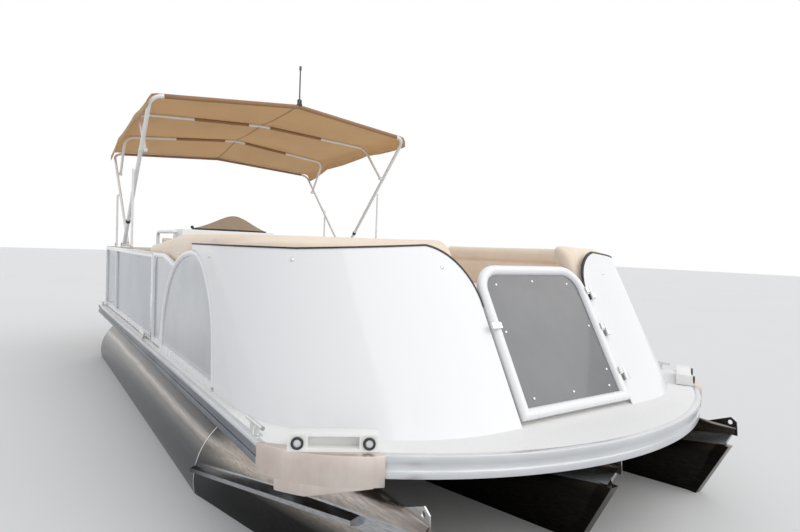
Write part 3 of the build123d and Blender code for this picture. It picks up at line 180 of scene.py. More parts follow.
class Bench(Tree):
    """Makes the nodes of one material."""

    def __init__(self, name: str) -> None:
        """Start a material of this name with an empty tree."""
        self.material = bpy.data.materials.new(name)
        self.material.use_nodes = True
        super().__init__(self.material.node_tree)
        self.tree.nodes.clear()

    def wire(self, kind: str, settings: dict | None, values: dict | None, output: int | str = 0) -> Wire:
        """One output of a new node."""
        return Wire(self, self.node(kind, settings, values).outputs[output])

    def maths(self, operation: str, *terms: Number) -> Wire:
        """One Math node on wires and numbers."""
        return self.wire("ShaderNodeMath", {"operation": operation}, dict(enumerate(terms)))

    def place(self, scale: Triple = (1, 1, 1), turn: Triple = (0, 0, 0)) -> Wire:
        """Object coordinates, scaled and turned."""
        source = self.wire("ShaderNodeTexCoord", None, None, "Object")
        return self.wire("ShaderNodeMapping", None, {"Vector": source, "Scale": scale, "Rotation": turn})

    def axis(self, index: int, place: Wire | None = None) -> Wire:
        """One coordinate of a place."""
        return self.wire("ShaderNodeSeparateXYZ", None, {0: place or self.place()}, index)

    def cloud(self, scale: float, detail: float = 3, place: Wire | None = None, rough: float = 0.55) -> Wire:
        """Soft noise from 0 to 1."""
        values = {"Vector": place or self.place(), "Scale": scale, "Detail": detail, "Roughness": rough}
        return self.wire("ShaderNodeTexNoise", None, values)

    def cells(self, scale: float) -> Wire:
        """Distance to the nearest cell's centre."""
        return self.wire("ShaderNodeTexVoronoi", None, {"Vector": self.place(), "Scale": scale}, "Distance")

    def ramp(self, value: Wire, stops: Sequence[tuple[float, Triple]]) -> Wire:
        """A colour for each value, given at rising values."""
        low, high = stops[0][0], stops[-1][0]
        node = self.node("ShaderNodeValToRGB", None, {0: (value - low) * (1 / (high - low))})
        elements = node.color_ramp.elements
        for element, (at, colour) in zip(elements, (stops[0], stops[-1])):
            element.position, element.color = (at - low) / (high - low), (*colour, 1)
        for at, colour in stops[1:-1]:
            elements.new((at - low) / (high - low)).color = (*colour, 1)
        return Wire(self, node.outputs[0])

    def mix(self, factor: Number, first: Wire | Triple, second: Wire | Triple) -> Wire:
        """Blend two colours."""
        colours = {key: colour if isinstance(colour, Wire) else (*colour, 1)
                   for key, colour in ((6, first), (7, second))}
        return self.wire("ShaderNodeMix", {"data_type": "RGBA"}, {0: factor} | colours, 2)

    def bump(self, height: Wire, distance: float, strength: float = 1.0) -> Wire:
        """A normal from a height of 0 to 1 that stands for a distance in metres."""
        return self.wire("ShaderNodeBump", None, {"Height": height, "Distance": distance, "Strength": strength})

    def principled(self, **sockets: Number | Triple) -> Wire:
        """A Principled shader; words in socket names are joined by underscores."""
        values = {key.replace("_", " ").title().replace("Ior", "IOR"): value for key, value in sockets.items()}
        return self.wire("ShaderNodeBsdfPrincipled", None, values)

    def output(self, shader: Wire) -> bpy.types.Material:
        """Send a shader to the surface and return the material."""
        self.node("ShaderNodeOutputMaterial", None, {"Surface": shader})
        return self.material

    def coat(self, **sockets: Number | Triple) -> bpy.types.Material:
        """Finish with a Principled shader."""
        return self.output(self.principled(**sockets))


# Finishes


def shade(colour: Triple, *by: float) -> Triple:
    """A colour with its parts scaled by one number or by three."""
    return tuple(c * t for c, t in zip(colour, by * 3 if len(by) == 1 else by))


def pale(colour: Triple, share: float) -> Triple:
    """A colour drawn towards white."""
    return tuple(c + (1 - c) * share for c in colour)


@dataclass(frozen=True)
class GlossPaint:
    """Gloss skin or powder coat: faint ripples, dust in streaks and a little orange peel."""

    name: str
    colour: Triple
    roughness: float
    ripple: float
    dust: float

    def make(self) -> bpy.types.Material:
        """Return the material."""
        bench = Bench(self.name)
        streak = bench.cloud(3.0, 4, bench.place((3.0, 3.0, 0.5)))
        low = bench.axis(2).between(0.72, 1.15, 1.0, 0.25)
        film = streak.between(0.45, 0.8) * low * self.dust
        peel = bench.cloud(140, 2) * 0.05 + bench.cloud(2.2, 1)
        return bench.coat(
            base_color=bench.mix(film, self.colour, shade(self.colour, 0.80, 0.78, 0.74)),
            roughness=film * 0.5 + self.roughness,
            coat_weight=0.35,
            coat_roughness=0.08,
            normal=bench.bump(peel, self.ripple * 10, 0.35),
        )


@dataclass(frozen=True)
class PaintedLightZone:
    """Part of a surface painted another colour to stand in for the light or shade that falls there.

    Each step gives an axis, the place where the zone starts and the place where it is full; the first axis is
    measured from the boat's middle.
    """

    colour: Triple
    steps: tuple[tuple[int, float, float], ...]

    def mask(self, bench: Bench) -> Wire:
        """1 inside the zone and 0 outside."""
        result = None
        for axis, start, full in self.steps:
            place = bench.axis(axis) if axis else bench.axis(0).size()
            part = place.between(start, full) if start < full else place.between(full, start, 1.0, 0.0)
            result = part if result is None else result * part
        return result


@dataclass(frozen=True)
class Metal:
    """Bare metal with drawn streaks, a dull film in patches and, where given, a zone of painted shade or painted
    reflection.
    """

    name: str
    colour: Triple
    roughness: float
    grain: Triple
    stain: Triple
    stained: float
    zone: PaintedLightZone | None = None

    def make(self) -> bpy.types.Material:
        """Return the material."""
        bench = Bench(self.name)
        drawn = bench.cloud(8.0, 5, bench.place(self.grain), 0.65)
        film = bench.cloud(3.5, 4).between(0.35, 0.75) * self.stained
        base = bench.mix(drawn, shade(self.colour, 0.82), self.colour)
        # Painted light: the zone's colour stands in for shade or reflection on that part.
        if self.zone:
            base = bench.mix(self.zone.mask(bench), base, self.zone.colour)
        return bench.coat(
            base_color=bench.mix(film, base, self.stain),
            metallic=1.0,
            roughness=drawn * 0.16 + film * 0.12 + (self.roughness - 0.08),
            normal=bench.bump(drawn, 0.0006, 0.25),
        )


@dataclass(frozen=True)
class HullMetal:
    """Bare hull sheet with its light painted in: painted shade under the deck, a painted reflection of dark water low
    on the sides, painted highlight bands between, brighter painted reflections on the noses, painted shade on the inner
    sides and a lighter strake as a painted highlight.

    Each row of colours gives heights in the row frame and the colour there.
    """

    name: str
    barrel: tuple[tuple[float, Triple], ...]
    nose: tuple[tuple[float, Triple], ...]
    inner: tuple[tuple[float, Triple], ...]
    strake: Triple = (0.52, 0.53, 0.55)
    film: Triple = (0.05, 0.047, 0.043)

    def make(self) -> bpy.types.Material:
        """Return the material."""
        bench = Bench(self.name)
        drawn = bench.cloud(8.0, 5, bench.place((18.0, 0.6, 18.0)), 0.65)
        across, station, height = (bench.axis(k) for k in range(3))
        # Painted light: the rows of colours by height paint the shade under the deck, the dark water's reflection low
        # down and highlight bands between.
        wavy = height + bench.cloud(1.4, 2) * 0.024 - 0.012
        ahead = station.between(-2.15, -1.8, 1.0, 0.0)
        # Painted shade: the inner sides take the inner row, which has no painted highlight.
        outer = across.size().between(0.93, 0.975)
        skin = bench.mix(ahead, bench.ramp(wavy, self.barrel), bench.ramp(wavy, self.nose))
        skin = bench.mix(outer, bench.ramp(wavy, self.inner), skin)
        # Painted highlight: the strake's band is painted lighter, for its lit top face.
        above_strake = height + station * 0.139 - 0.1425
        rail = above_strake.size().between(0.024, 0.030, 1.0, 0.0) * ahead
        skin = bench.mix(rail, skin, self.strake)
        return bench.coat(
            base_color=bench.mix(drawn.between(0.35, 0.7, 0.0, 0.35), skin, self.film),
            metallic=1.0,
            roughness=drawn * 0.14 + 0.14,
            normal=bench.bump(drawn, 0.0006, 0.25),
        )


@dataclass(frozen=True)
class GrainedVinyl:
    """Upholstery vinyl: fine pebble grain, soft creases and darker hollows."""

    name: str
    colour: Triple

    def make(self) -> bpy.types.Material:
        """Return the material."""
        bench = Bench(self.name)
        pebble = bench.cells(420.0)
        crease = bench.cloud(14, 4, bench.place((1, 1, 1.6)))
        tone = bench.cloud(3.2, 3)
        dark = shade(self.colour, 0.84, 0.80, 0.75)
        base = bench.mix(tone.between(0.35, 0.7) * 0.45, self.colour, dark)
        return bench.coat(
            base_color=bench.mix(pebble.between(0.35, 0.75) * 0.3, base, dark),
            roughness=tone * 0.16 + 0.40,
            sheen_weight=0.12,
            normal=bench.bump(pebble * -0.3 + crease * 1.4, 0.0022, 0.5),
        )


@dataclass(frozen=True)
class Canvas:
    """Woven awning cloth: crossed threads, slubs, and light that comes through it."""

    name: str
    colour: Triple
    glow: float
    seam: bool = False
    pitch: float = 0.0022

    def make(self) -> bpy.types.Material:
        """Return the material."""
        bench = Bench(self.name)
        source = bench.place((math.tau / self.pitch,) * 3)
        warp, weft = (bench.axis(k, source).sine() * 0.5 + 0.5 for k in (0, 1))
        weave = warp * weft
        slub = bench.cloud(60, 3, bench.place((1, 9, 1)))
        tone = bench.cloud(1.7, 3)
        dark = shade(self.colour, 0.74)
        base = bench.mix(weave * 0.3 + slub * 0.3, self.colour, dark)
        base = bench.mix(tone.between(0.35, 0.75) * 0.3, base, dark)
        if self.seam:
            middle = bench.axis(0).size().between(0.006, 0.011, 0.7, 0.0)
            base = bench.mix(middle, base, shade(self.colour, 0.42))
        normal = bench.bump(weave + slub * 0.6, 0.0006, 0.5)
        front = bench.principled(base_color=base, roughness=0.9, specular_ior_level=0.15, normal=normal)
        through = bench.wire("ShaderNodeBsdfTranslucent", None, {"Color": base, "Normal": normal})
        return bench.output(bench.wire("ShaderNodeMixShader", None, {0: self.glow, 1: front, 2: through}))


@dataclass(frozen=True)
class WovenFloor:
    """Woven vinyl flooring: a tight two-tone weave with scattered flecks and scuffs."""

    name: str
    colour: Triple
    fleck: Triple
    pitch: float = 0.006

    def make(self) -> bpy.types.Material:
        """Return the material."""
        bench = Bench(self.name)
        source = bench.place((math.tau / self.pitch,) * 3, (0, 0, math.radians(45)))
        weave = (bench.axis(0, source).sine() * bench.axis(1, source).sine()) * 0.5 + 0.5
        fleck = bench.cloud(160, 3, None, 0.75).between(0.52, 0.68)
        scuff = bench.cloud(2.4, 5)
        dark = shade(self.colour, 0.82)
        base = bench.mix(weave * 0.5, self.colour, dark)
        base = bench.mix(fleck * 0.55, base, self.fleck)
        base = bench.mix(scuff.between(0.5, 0.8) * 0.35, base, dark)
        return bench.coat(
            base_color=base, roughness=scuff * 0.2 + 0.55, normal=bench.bump(weave + fleck, 0.0006, 0.5))


@dataclass(frozen=True)
class Pane:
    """Sheet plastic or glass that lets some of what is behind it through."""

    name: str
    colour: Triple
    opacity: float
    roughness: float
    haze: float

    def make(self) -> bpy.types.Material:
        """Return the material."""
        bench = Bench(self.name)
        haze = bench.cloud(2.6, 4).between(0.4, 0.8)
        return bench.coat(
            base_color=bench.mix(haze * self.haze * 4, self.colour, pale(self.colour, 0.12)),
            roughness=haze * 0.12 + self.roughness,
            alpha=haze * self.haze + self.opacity,
            coat_weight=0.5,
            coat_roughness=0.03,
        )


@dataclass(frozen=True)
class Moulded:
    """Moulded plastic or rubber with a fine spark-eroded grain and rubbed edges."""

    name: str
    colour: Triple
    roughness: float

    def make(self) -> bpy.types.Material:
        """Return the material."""
        bench = Bench(self.name)
        worn = bench.cloud(9, 4).between(0.55, 0.8)
        return bench.coat(
            base_color=bench.mix(worn, self.colour, pale(self.colour, 0.07)),
            roughness=worn * 0.15 + self.roughness,
            normal=bench.bump(bench.cloud(600.0, 2), 0.0004, 0.4),
        )


@dataclass(frozen=True)
class Plywood:
    """Painted marine board, seen only from underneath."""

    name: str = "painted_board"

    def make(self) -> bpy.types.Material:
        """Return the material."""
        bench = Bench(self.name)
        rings = bench.cloud(6, 5, bench.place((12, 1, 1)))
        base = bench.mix(rings, (0.19, 0.15, 0.11), (0.10, 0.08, 0.06))
        return bench.coat(base_color=base, roughness=rings * 0.2 + 0.6, normal=bench.bump(rings, 0.001, 0.4))


class Finish(Enum):
    """Every finish on the boat."""

    SHELL = GlossPaint("white_skin", (0.85, 0.852, 0.862), 0.14, 0.0006, 0.1)
    TUBE = GlossPaint("white_powder_coat", (0.86, 0.862, 0.872), 0.26, 0.00005, 0.1)
    MOULDING = GlossPaint("white_moulding", (0.82, 0.82, 0.80), 0.34, 0.0004, 0.3)
    MOTOR = GlossPaint("gloss_motor_paint", (0.030, 0.033, 0.037), 0.14, 0.0003, 0.1)
    # The hull's colours by height are painted light: shade under the deck, reflected dark water and highlight bands.
    HULL = HullMetal(
        "hull_metal_painted_light",
        ((0.26, (0.02, 0.021, 0.023)), (0.36, (0.06, 0.063, 0.067)), (0.45, (0.075, 0.076, 0.078)),
         (0.50, (0.14, 0.135, 0.125)), (0.522, (0.42, 0.39, 0.35)), (0.545, (0.085, 0.085, 0.088)),
         (0.57, (0.045, 0.045, 0.048)), (0.60, (0.17, 0.175, 0.18)), (0.70, (0.22, 0.22, 0.22))),
        ((0.30, (0.012, 0.012, 0.012)), (0.42, (0.02, 0.02, 0.02)), (0.46, (0.17, 0.155, 0.14)),
         (0.50, (0.46, 0.41, 0.36)), (0.55, (0.36, 0.32, 0.29)), (0.60, (0.50, 0.45, 0.41)),
         (0.645, (0.36, 0.32, 0.295)), (0.67, (0.62, 0.61, 0.60))),
        ((0.30, (0.010, 0.010, 0.008)), (0.50, (0.022, 0.020, 0.016)), (0.57, (0.10, 0.075, 0.055)),
         (0.61, (0.24, 0.185, 0.14)), (0.645, (0.20, 0.17, 0.145)), (0.67, (0.62, 0.61, 0.60))))
    # The trim's dark zone, low on its outer face and aft of the bow corner, is painted shade.
    TRIM = Metal("anodised_trim", (0.80, 0.815, 0.84), 0.34, (2.0, 2.0, 40.0), (0.50, 0.51, 0.52), 0.25,
                 PaintedLightZone((0.19, 0.205, 0.23), ((0, 1.272, 1.284), (1, -2.72, -2.69), (2, 0.790, 0.781))))
    CASTING = Metal("cast_corner", (0.84, 0.745, 0.69), 0.34, (6.0, 6.0, 0.7), (0.44, 0.36, 0.31), 0.5)
    MILL = Metal("mill_metal", (0.40, 0.41, 0.42), 0.42, (1.0, 20.0, 20.0), (0.24, 0.23, 0.21), 0.4)
    STEEL = Metal("polished_steel", (0.78, 0.78, 0.78), 0.2, (25.0, 25.0, 4.0), (0.5, 0.48, 0.45), 0.12)
    # The sheet's lighter zone at its forward end is a painted reflection.
    SHEET = Metal("polished_side_sheet", (0.46, 0.495, 0.535), 0.14, (1.2, 1.2, 5.0), (0.33, 0.35, 0.37), 0.3,
                  PaintedLightZone((0.60, 0.615, 0.64), ((1, -0.62, -0.70),)))
    TAN = GrainedVinyl("sewn_tan_vinyl", (0.92, 0.78, 0.64))
    CANVAS = Canvas("woven_tan_canvas", (0.81, 0.615, 0.39), 0.42, True)
    SLEEVE = Canvas("sleeve_canvas", (0.47, 0.285, 0.165), 0.15)
    FLOOR = WovenFloor("woven_floor", (0.88, 0.875, 0.865), (0.66, 0.635, 0.605))
    SMOKE = Pane("smoked_panel", (0.165, 0.168, 0.176), 0.88, 0.1, 0.07)
    TINT = Pane("tinted_screen", (0.36, 0.25, 0.14), 0.76, 0.08, 0.1)
    LENS = Pane("lamp_lens", (0.80, 0.82, 0.84), 0.75, 0.05, 0.1)
    RUBBER = Moulded("soft_black_rubber", (0.014, 0.014, 0.015), 0.55)
    PLASTIC = Moulded("grained_black_plastic", (0.022, 0.022, 0.024), 0.42)
    MAST = Moulded("mast_rod", (0.11, 0.115, 0.12), 0.4)
    BOARD = Plywood()

    @cached_property
    def material(self) -> bpy.types.Material:
        """The material, made the first time it is asked for."""
        return self.value.make()


# Meshes


def placed(name: str, data: bpy.types.ID) -> bpy.types.Object:
    """A new object of this name in the scene."""
    piece = bpy.data.objects.new(name, data)
    bpy.context.scene.collection.objects.link(piece)
    return piece


def mesh_piece(name: str, vertices: Sequence, faces: Sequence, finish: Finish) -> bpy.types.Object:
    """Make a smooth piece from places in the row frame and its faces, with its normals turned outwards."""
    mesh = bpy.data.meshes.new(name)
    mesh.from_pydata([tuple(v) for v in vertices], [], faces)
    work = bmesh.new()
    work.from_mesh(mesh)
    bmesh.ops.remove_doubles(work, verts=work.verts, dist=1e-6)
    bmesh.ops.recalc_face_normals(work, faces=work.faces)
    for face in work.faces:
        face.smooth = True
    work.to_mesh(mesh)
    work.free()
    mesh.materials.append(finish.material)
    return placed(name, mesh)


def quads(rows: int, columns: int, start: int = 0) -> list[tuple[int, ...]]:
    """Faces of a grid whose corners are numbered row by row from a start."""
    width = columns + 1
    corners = (start + row * width + column for row in range(rows) for column in range(columns))
    return [(a, a + 1, a + width + 1, a + width) for a in corners]


def loft(name: str, rings: Sequence[Sequence[Vector]], finish: Finish, closed: bool = False) -> bpy.types.Object:
    """Skin a row of closed rings, capped at both ends unless the row itself closes."""
    count = len(rings[0])
    vertices = [point for ring in rings for point in ring]
    faces = []
    for row in range(len(rings) if closed else len(rings) - 1):
        here, there = row * count, (row + 1) % len(rings) * count
        for k in range(count):
            after = (k + 1) % count
            faces.append((here + k, here + after, there + after, there + k))
    if not closed:
        faces.append(tuple(range(count)))
        faces.append(tuple(range((len(rings) - 1) * count, len(rings) * count)))
    return mesh_piece(name, vertices, faces, finish)


def circle(sides: int) -> list[Pair]:
    """Cosine and sine of evenly spaced turns."""
    return [(math.cos(a), math.sin(a)) for a in (math.tau * k / sides for k in range(sides))]


def tube(name: str, points: Sequence[Vector], radius: float, finish: Finish, sides: int = 12,
         closed: bool = False) -> bpy.types.Object:
    """A round tube along points, its section carried along without twisting."""
    last = len(points) - 1
    normal = None
    rings = []
    for index, point in enumerate(points):
        before = points[index - 1] if index or closed else points[0]
        after = points[(index + 1) % (last + 1)] if index < last or closed else points[last]
        along = (after - before).normalized()
        if normal is None:
            normal = along.orthogonal().normalized()
        normal = (normal - along * normal.dot(along)).normalized()
        side = along.cross(normal)
        rings.append([point + radius * (cos * normal + sin * side) for cos, sin in circle(sides)])
    return loft(name, rings, finish, closed)


def bent(points: Sequence[Vector], radius: float, steps: int) -> list[Vector]:
    """Round the corners of a line of points with arcs of a radius."""
    result = [points[0]]
    for before, corner, after in zip(points, points[1:], points[2:]):
        back, ahead = before - corner, after - corner
        half = back.angle(ahead) / 2
        reach = min(radius / math.tan(half), back.length * 0.49, ahead.length * 0.49)
        start, end = corner + back.normalized() * reach, corner + ahead.normalized() * reach
        for step in range(steps + 1):
            t = step / steps
            result.append(start * (1 - t) ** 2 + corner * 2 * t * (1 - t) + end * t * t)
    return [*result, points[-1]]


def turned(name: str, profile: Sequence[Pair], origin: Vector, axis: Vector, finish: Finish,
           sides: int = 32) -> bpy.types.Object:
    """Turn a profile of radii and heights about an axis."""
    spin = Vector((0, 0, 1)).rotation_difference(axis).to_matrix()
    rings = []
    for radius, height in profile:
        reach = max(radius, 1e-5)
        rings.append([origin + spin @ Vector((reach * cos, reach * sin, height)) for cos, sin in circle(sides)])
    return loft(name, rings, finish)


def joined(name: str, parts: Sequence[bpy.types.Object]) -> bpy.types.Object:
    """Join several pieces into one, keeping their finishes."""
    mesh = bpy.data.meshes.new(name)
    work = bmesh.new()
    for part in parts:
        start = len(work.faces)
        work.from_mesh(part.data)
        work.faces.ensure_lookup_table()
        for material in part.data.materials:
            if material.name not in mesh.materials:
                mesh.materials.append(material)
        for face in work.faces[start:]:
            face.material_index = mesh.materials.find(part.data.materials[face.material_index].name)
    work.to_mesh(mesh)
    work.free()
    for part in parts:
        bpy.data.objects.remove(part)
    return placed(name, mesh)


def settle(piece: bpy.types.Object) -> bpy.types.Object:
    """Turn a piece with modifiers into a plain mesh."""
    graph = bpy.context.evaluated_depsgraph_get()
    mesh = bpy.data.meshes.new_from_object(piece.evaluated_get(graph))
    old = piece.data
    piece.modifiers.clear()
    piece.data = mesh
    bpy.data.meshes.remove(old)
    return piece


# Geometry trees


class GeometryBench(Tree):
    """Makes one geometry tree with named inputs."""

    def __init__(self, name: str, inputs: dict[str, str]) -> None:
        """Start a tree with its name and the socket type of each named input, after the geometry."""
        super().__init__(bpy.data.node_groups.new(name, "GeometryNodeTree"))
        face = self.tree.interface
        for way in ("INPUT", "OUTPUT"):
            face.new_socket("Geometry", in_out=way, socket_type="NodeSocketGeometry")
        for title, kind in inputs.items():
            face.new_socket(title, in_out="INPUT", socket_type=kind)
        self.source = self.node("NodeGroupInput").outputs

    def finish(self, geometry: bpy.types.Node) -> bpy.types.NodeTree:
        """Send a node's geometry to the output."""
        self.node("NodeGroupOutput", None, {0: geometry})
        return self.tree


@cache
def crease_tree() -> bpy.types.NodeTree:
    """Shade smooth, but for edges that turn by more than 32 degrees."""
    bench = GeometryBench("crease", {})
    free = bench.node("GeometryNodeRemoveAttribute", None, {0: bench.source[0], "Name": "custom_normal"})
    smooth = bench.node("GeometryNodeSetShadeSmooth", {"domain": "FACE"}, {0: free})
    angle = bench.node("GeometryNodeInputMeshEdgeAngle")
    sharp = bench.node("FunctionNodeCompare", {"operation": "GREATER_THAN"}, {0: angle, 1: math.radians(32)})
    return bench.finish(
        bench.node("GeometryNodeSetShadeSmooth", {"domain": "EDGE"}, {0: smooth, 1: sharp, 2: False}))


@cache
def stud_tree() -> bpy.types.NodeTree:
    """A domed stud on every vertex, along the vertex's aim."""
    bench = GeometryBench("studs", {
        "Radius": "NodeSocketFloat", "Height": "NodeSocketFloat", "Finish": "NodeSocketMaterial"})
    source = bench.source
    ball = bench.node("GeometryNodeMeshUVSphere", None, {"Segments": 12, "Rings": 6, "Radius": source["Radius"]})
    ratio = bench.node("ShaderNodeMath", {"operation": "DIVIDE"}, {0: source["Height"], 1: source["Radius"]})
    scale = bench.node("ShaderNodeCombineXYZ", None, {0: 1.0, 1: 1.0, 2: ratio})
    dome = bench.node("GeometryNodeTransform", None, {0: ball, "Scale": scale})
    aim = bench.node("GeometryNodeInputNamedAttribute", {"data_type": "FLOAT_VECTOR"}, {"Name": "aim"})
    turn = bench.node("FunctionNodeAlignRotationToVector", {"axis": "Z"}, {"Vector": aim})
    spread = bench.node("GeometryNodeInstanceOnPoints", None, {"Points": source[0], "Instance": dome, "Rotation": turn})
    real = bench.node("GeometryNodeRealizeInstances", None, {0: spread})
    smooth = bench.node("GeometryNodeSetShadeSmooth", None, {0: real})
    return bench.finish(bench.node("GeometryNodeSetMaterial", None, {0: smooth, "Material": source["Finish"]}))


def studs(name: str, places: Sequence[tuple[Vector, Vector]], radius: float, height: float,
          finish: Finish = Finish.STEEL) -> bpy.types.Object:
    """Domed screws or rivets in one mesh, from the middle of each stud's foot and the way that it points."""
    mesh = bpy.data.meshes.new(name + "_places")
    mesh.from_pydata([tuple(place) for place, _ in places], [], [])
    aims = mesh.attributes.new("aim", "FLOAT_VECTOR", "POINT")
    for item, (_, way) in zip(aims.data, places):
        item.vector = way
    piece = placed(name, mesh)
    modifier = piece.modifiers.new("studs", "NODES")
    modifier.node_group = stud_tree()
    values = {"Radius": radius, "Height": height, "Finish": finish.material}
    for item in modifier.node_group.interface.items_tree:
        if item.name in values:
            modifier[item.identifier] = values[item.name]
    return settle(piece)


# The boat


@dataclass
class Datum:
    """Where the deck's front edge and top are in the row frame."""

    trim: float = 0.025
    front: float = field(init=False)
    top: float = field(init=False)

    def __post_init__(self) -> None:
        """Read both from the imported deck."""
        low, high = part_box("deck_vinyl")
        self.front = low[1] - self.trim
        self.top = high[2]

    def at(self, x: float, station: float, height: float) -> Vector:
        """A deck place in the row frame."""
        return Vector((x, self.front + station, self.top + height))

    def back(self, place: Vector) -> Triple:
        """The deck place at a place in the row frame."""
        return place.x, place.y - self.front, place.z - self.top


@dataclass
class Boat:
    """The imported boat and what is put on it."""

    frame: dict
    datum: Datum = field(default_factory=Datum)

    def dress(self, finish: Finish, bevel: float, nodes: str) -> None:
        """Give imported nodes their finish, welded, with softened edges where asked.

        Args:
            finish: The finish.
            bevel: Width of the softened edges in metres, or 0.
            nodes: The nodes' names.
        """
        for name in nodes.split():
            piece = self.frame["nodes"][name]
            if not piece.material_slots:
                piece.data.materials.append(finish.material)
            for slot in piece.material_slots:
                slot.material = finish.material
            piece.modifiers.new("weld", "WELD").merge_threshold = 1e-5
            if bevel:
                flat = piece.modifiers.new("flat", "DECIMATE")
                flat.decimate_type = "DISSOLVE"
                flat.angle_limit = math.radians(1)
                edge = piece.modifiers.new("edge", "BEVEL")
                edge.width = bevel
                edge.segments = 2
                edge.limit_method = "ANGLE"
                edge.angle_limit = math.radians(40)
            piece.modifiers.new("crease", "NODES").node_group = crease_tree()

    def mount(self, piece: bpy.types.Object, body: str, slot: str, *nodes: str) -> None:
        """Carry a piece with a body and hide the nodes it stands for."""
        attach(piece, body)
        if nodes:
            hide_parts(*nodes)
        LOG.info("%s rides on %s", piece.name, body)


@dataclass
class BowPlan:
    """The plan of the bow shells, drawn in by an inset and swept up its rake."""

    half: float = 1.24
    front: float = 0.28
    corner: float = 0.79
    rake: float = 0.57

    @property
    def centre(self) -> Pair:
        """Middle of the corner's arc at deck height: from the boat's middle, and station."""
        return self.half - self.corner, self.front + self.corner

    @property
    def quarter(self) -> float:
        """Length of the corner's arc."""
        return self.corner * math.pi / 2

    def place(self, along: float, inset: float, height: float) -> Pair:
        """Follow one side's plan from where its corner starts.

        Args:
            along: Metres round the outer face, negative towards the stern.
            inset: How far inside the outer face.
            height: Above the deck.

        Returns:
            Distance from the boat's middle, and station.
        """
        lean = self.rake * height
        across, station = self.centre
        radius = self.corner - inset
        if along < 0:
            return self.half - inset, station + lean - along
        if along < self.quarter:
            turn = along / self.corner
            return across + radius * math.cos(turn), station + lean - radius * math.sin(turn)
        return across - (along - self.quarter), self.front + inset + lean

    def ahead(self, station: float, height: float) -> float:
        """How far a place lies ahead of where the corner starts."""
        return self.centre[1] + self.rake * height - station

    def along(self, x: float, station: float, height: float) -> float:
        """The length at which a place lies, as in place()."""
        across, _ = self.centre
        ahead = self.ahead(station, height)
        if ahead < 0:
            return ahead
        if abs(x) > across:
            return math.atan2(ahead, abs(x) - across) * self.corner
        return self.quarter + across - abs(x)

    def inset(self, x: float, station: float, height: float) -> float:
        """How far a place lies inside the outer face."""
        ahead = self.ahead(station, height)
        if ahead < 0:
            return self.half - abs(x)
        return self.corner - math.hypot(ahead, max(abs(x) - self.centre[0], 0.0))


# Upholstery


@dataclass(frozen=True)
class Seam:
    """A sewn line that draws a pad in: distance from it, how deep and how wide."""

    off: Callable[[Vector], float]
    depth: float
    width: float


@dataclass
class Sewn:
    """A soft piece on its way through the stuffing: its mesh, seams, farthest swelling, voxel and lowest height."""

    piece: bpy.types.Object
    seams: Sequence[Seam]
    cap: float
    voxel: float
    floor: float = -math.inf


@dataclass
class Stuffing:
    """Swells every sewn piece with a cloth simulation, then presses its seams in."""

    pressure: float = 4.0
    frames: int = 20
    deepest: float = 0.012
    batch: list[Sewn] = field(default_factory=list)

    def swell(self) -> None:
        """Remesh all pieces, simulate them together and keep their capped movement."""
        scene = bpy.context.scene
        for sewn in self.batch:
            remesh = sewn.piece.modifiers.new("remesh", "REMESH")
            remesh.mode = "VOXEL"
            remesh.voxel_size = sewn.voxel
            settle(sewn.piece)
            cloth = sewn.piece.modifiers.new("stuffing", "CLOTH")
            cloth.settings.use_pressure = True
            cloth.settings.uniform_pressure_force = self.pressure
            cloth.settings.effector_weights.gravity = 0
            cloth.settings.quality = 4
            cloth.point_cache.frame_start = 1
            cloth.point_cache.frame_end = self.frames
        for frame in range(1, self.frames + 1):
            scene.frame_set(frame)
        graph = bpy.context.evaluated_depsgraph_get()
        for sewn in self.batch:
            moved = [v.co.copy() for v in sewn.piece.evaluated_get(graph).data.vertices]
            sewn.piece.modifiers.clear()
            for vertex, there in zip(sewn.piece.data.vertices, moved):
                step = there - vertex.co
                vertex.co += step * min(1.0, sewn.cap / max(step.length, 1e-9))
                vertex.co.z = max(vertex.co.z, sewn.floor)
        scene.frame_set(1)

    def run(self) -> None:
        """Swell, subdivide, press the seams and shade every piece."""
        self.swell()
        for sewn in self.batch:
            smooth = sewn.piece.modifiers.new("smooth", "SUBSURF")
            smooth.levels = smooth.render_levels = 1
            settle(sewn.piece)
            mesh = sewn.piece.data
            normals = [vertex.normal.copy() for vertex in mesh.vertices]
            for vertex, normal in zip(mesh.vertices, normals):
                press = sum(
                    seam.depth * math.exp(-((seam.off(vertex.co) / seam.width) ** 2)) for seam in sewn.seams)
                vertex.co -= normal * min(press, self.deepest)
            for polygon in mesh.polygons:
                polygon.use_smooth = True
            LOG.info("%s has %d faces", sewn.piece.name, len(mesh.polygons))


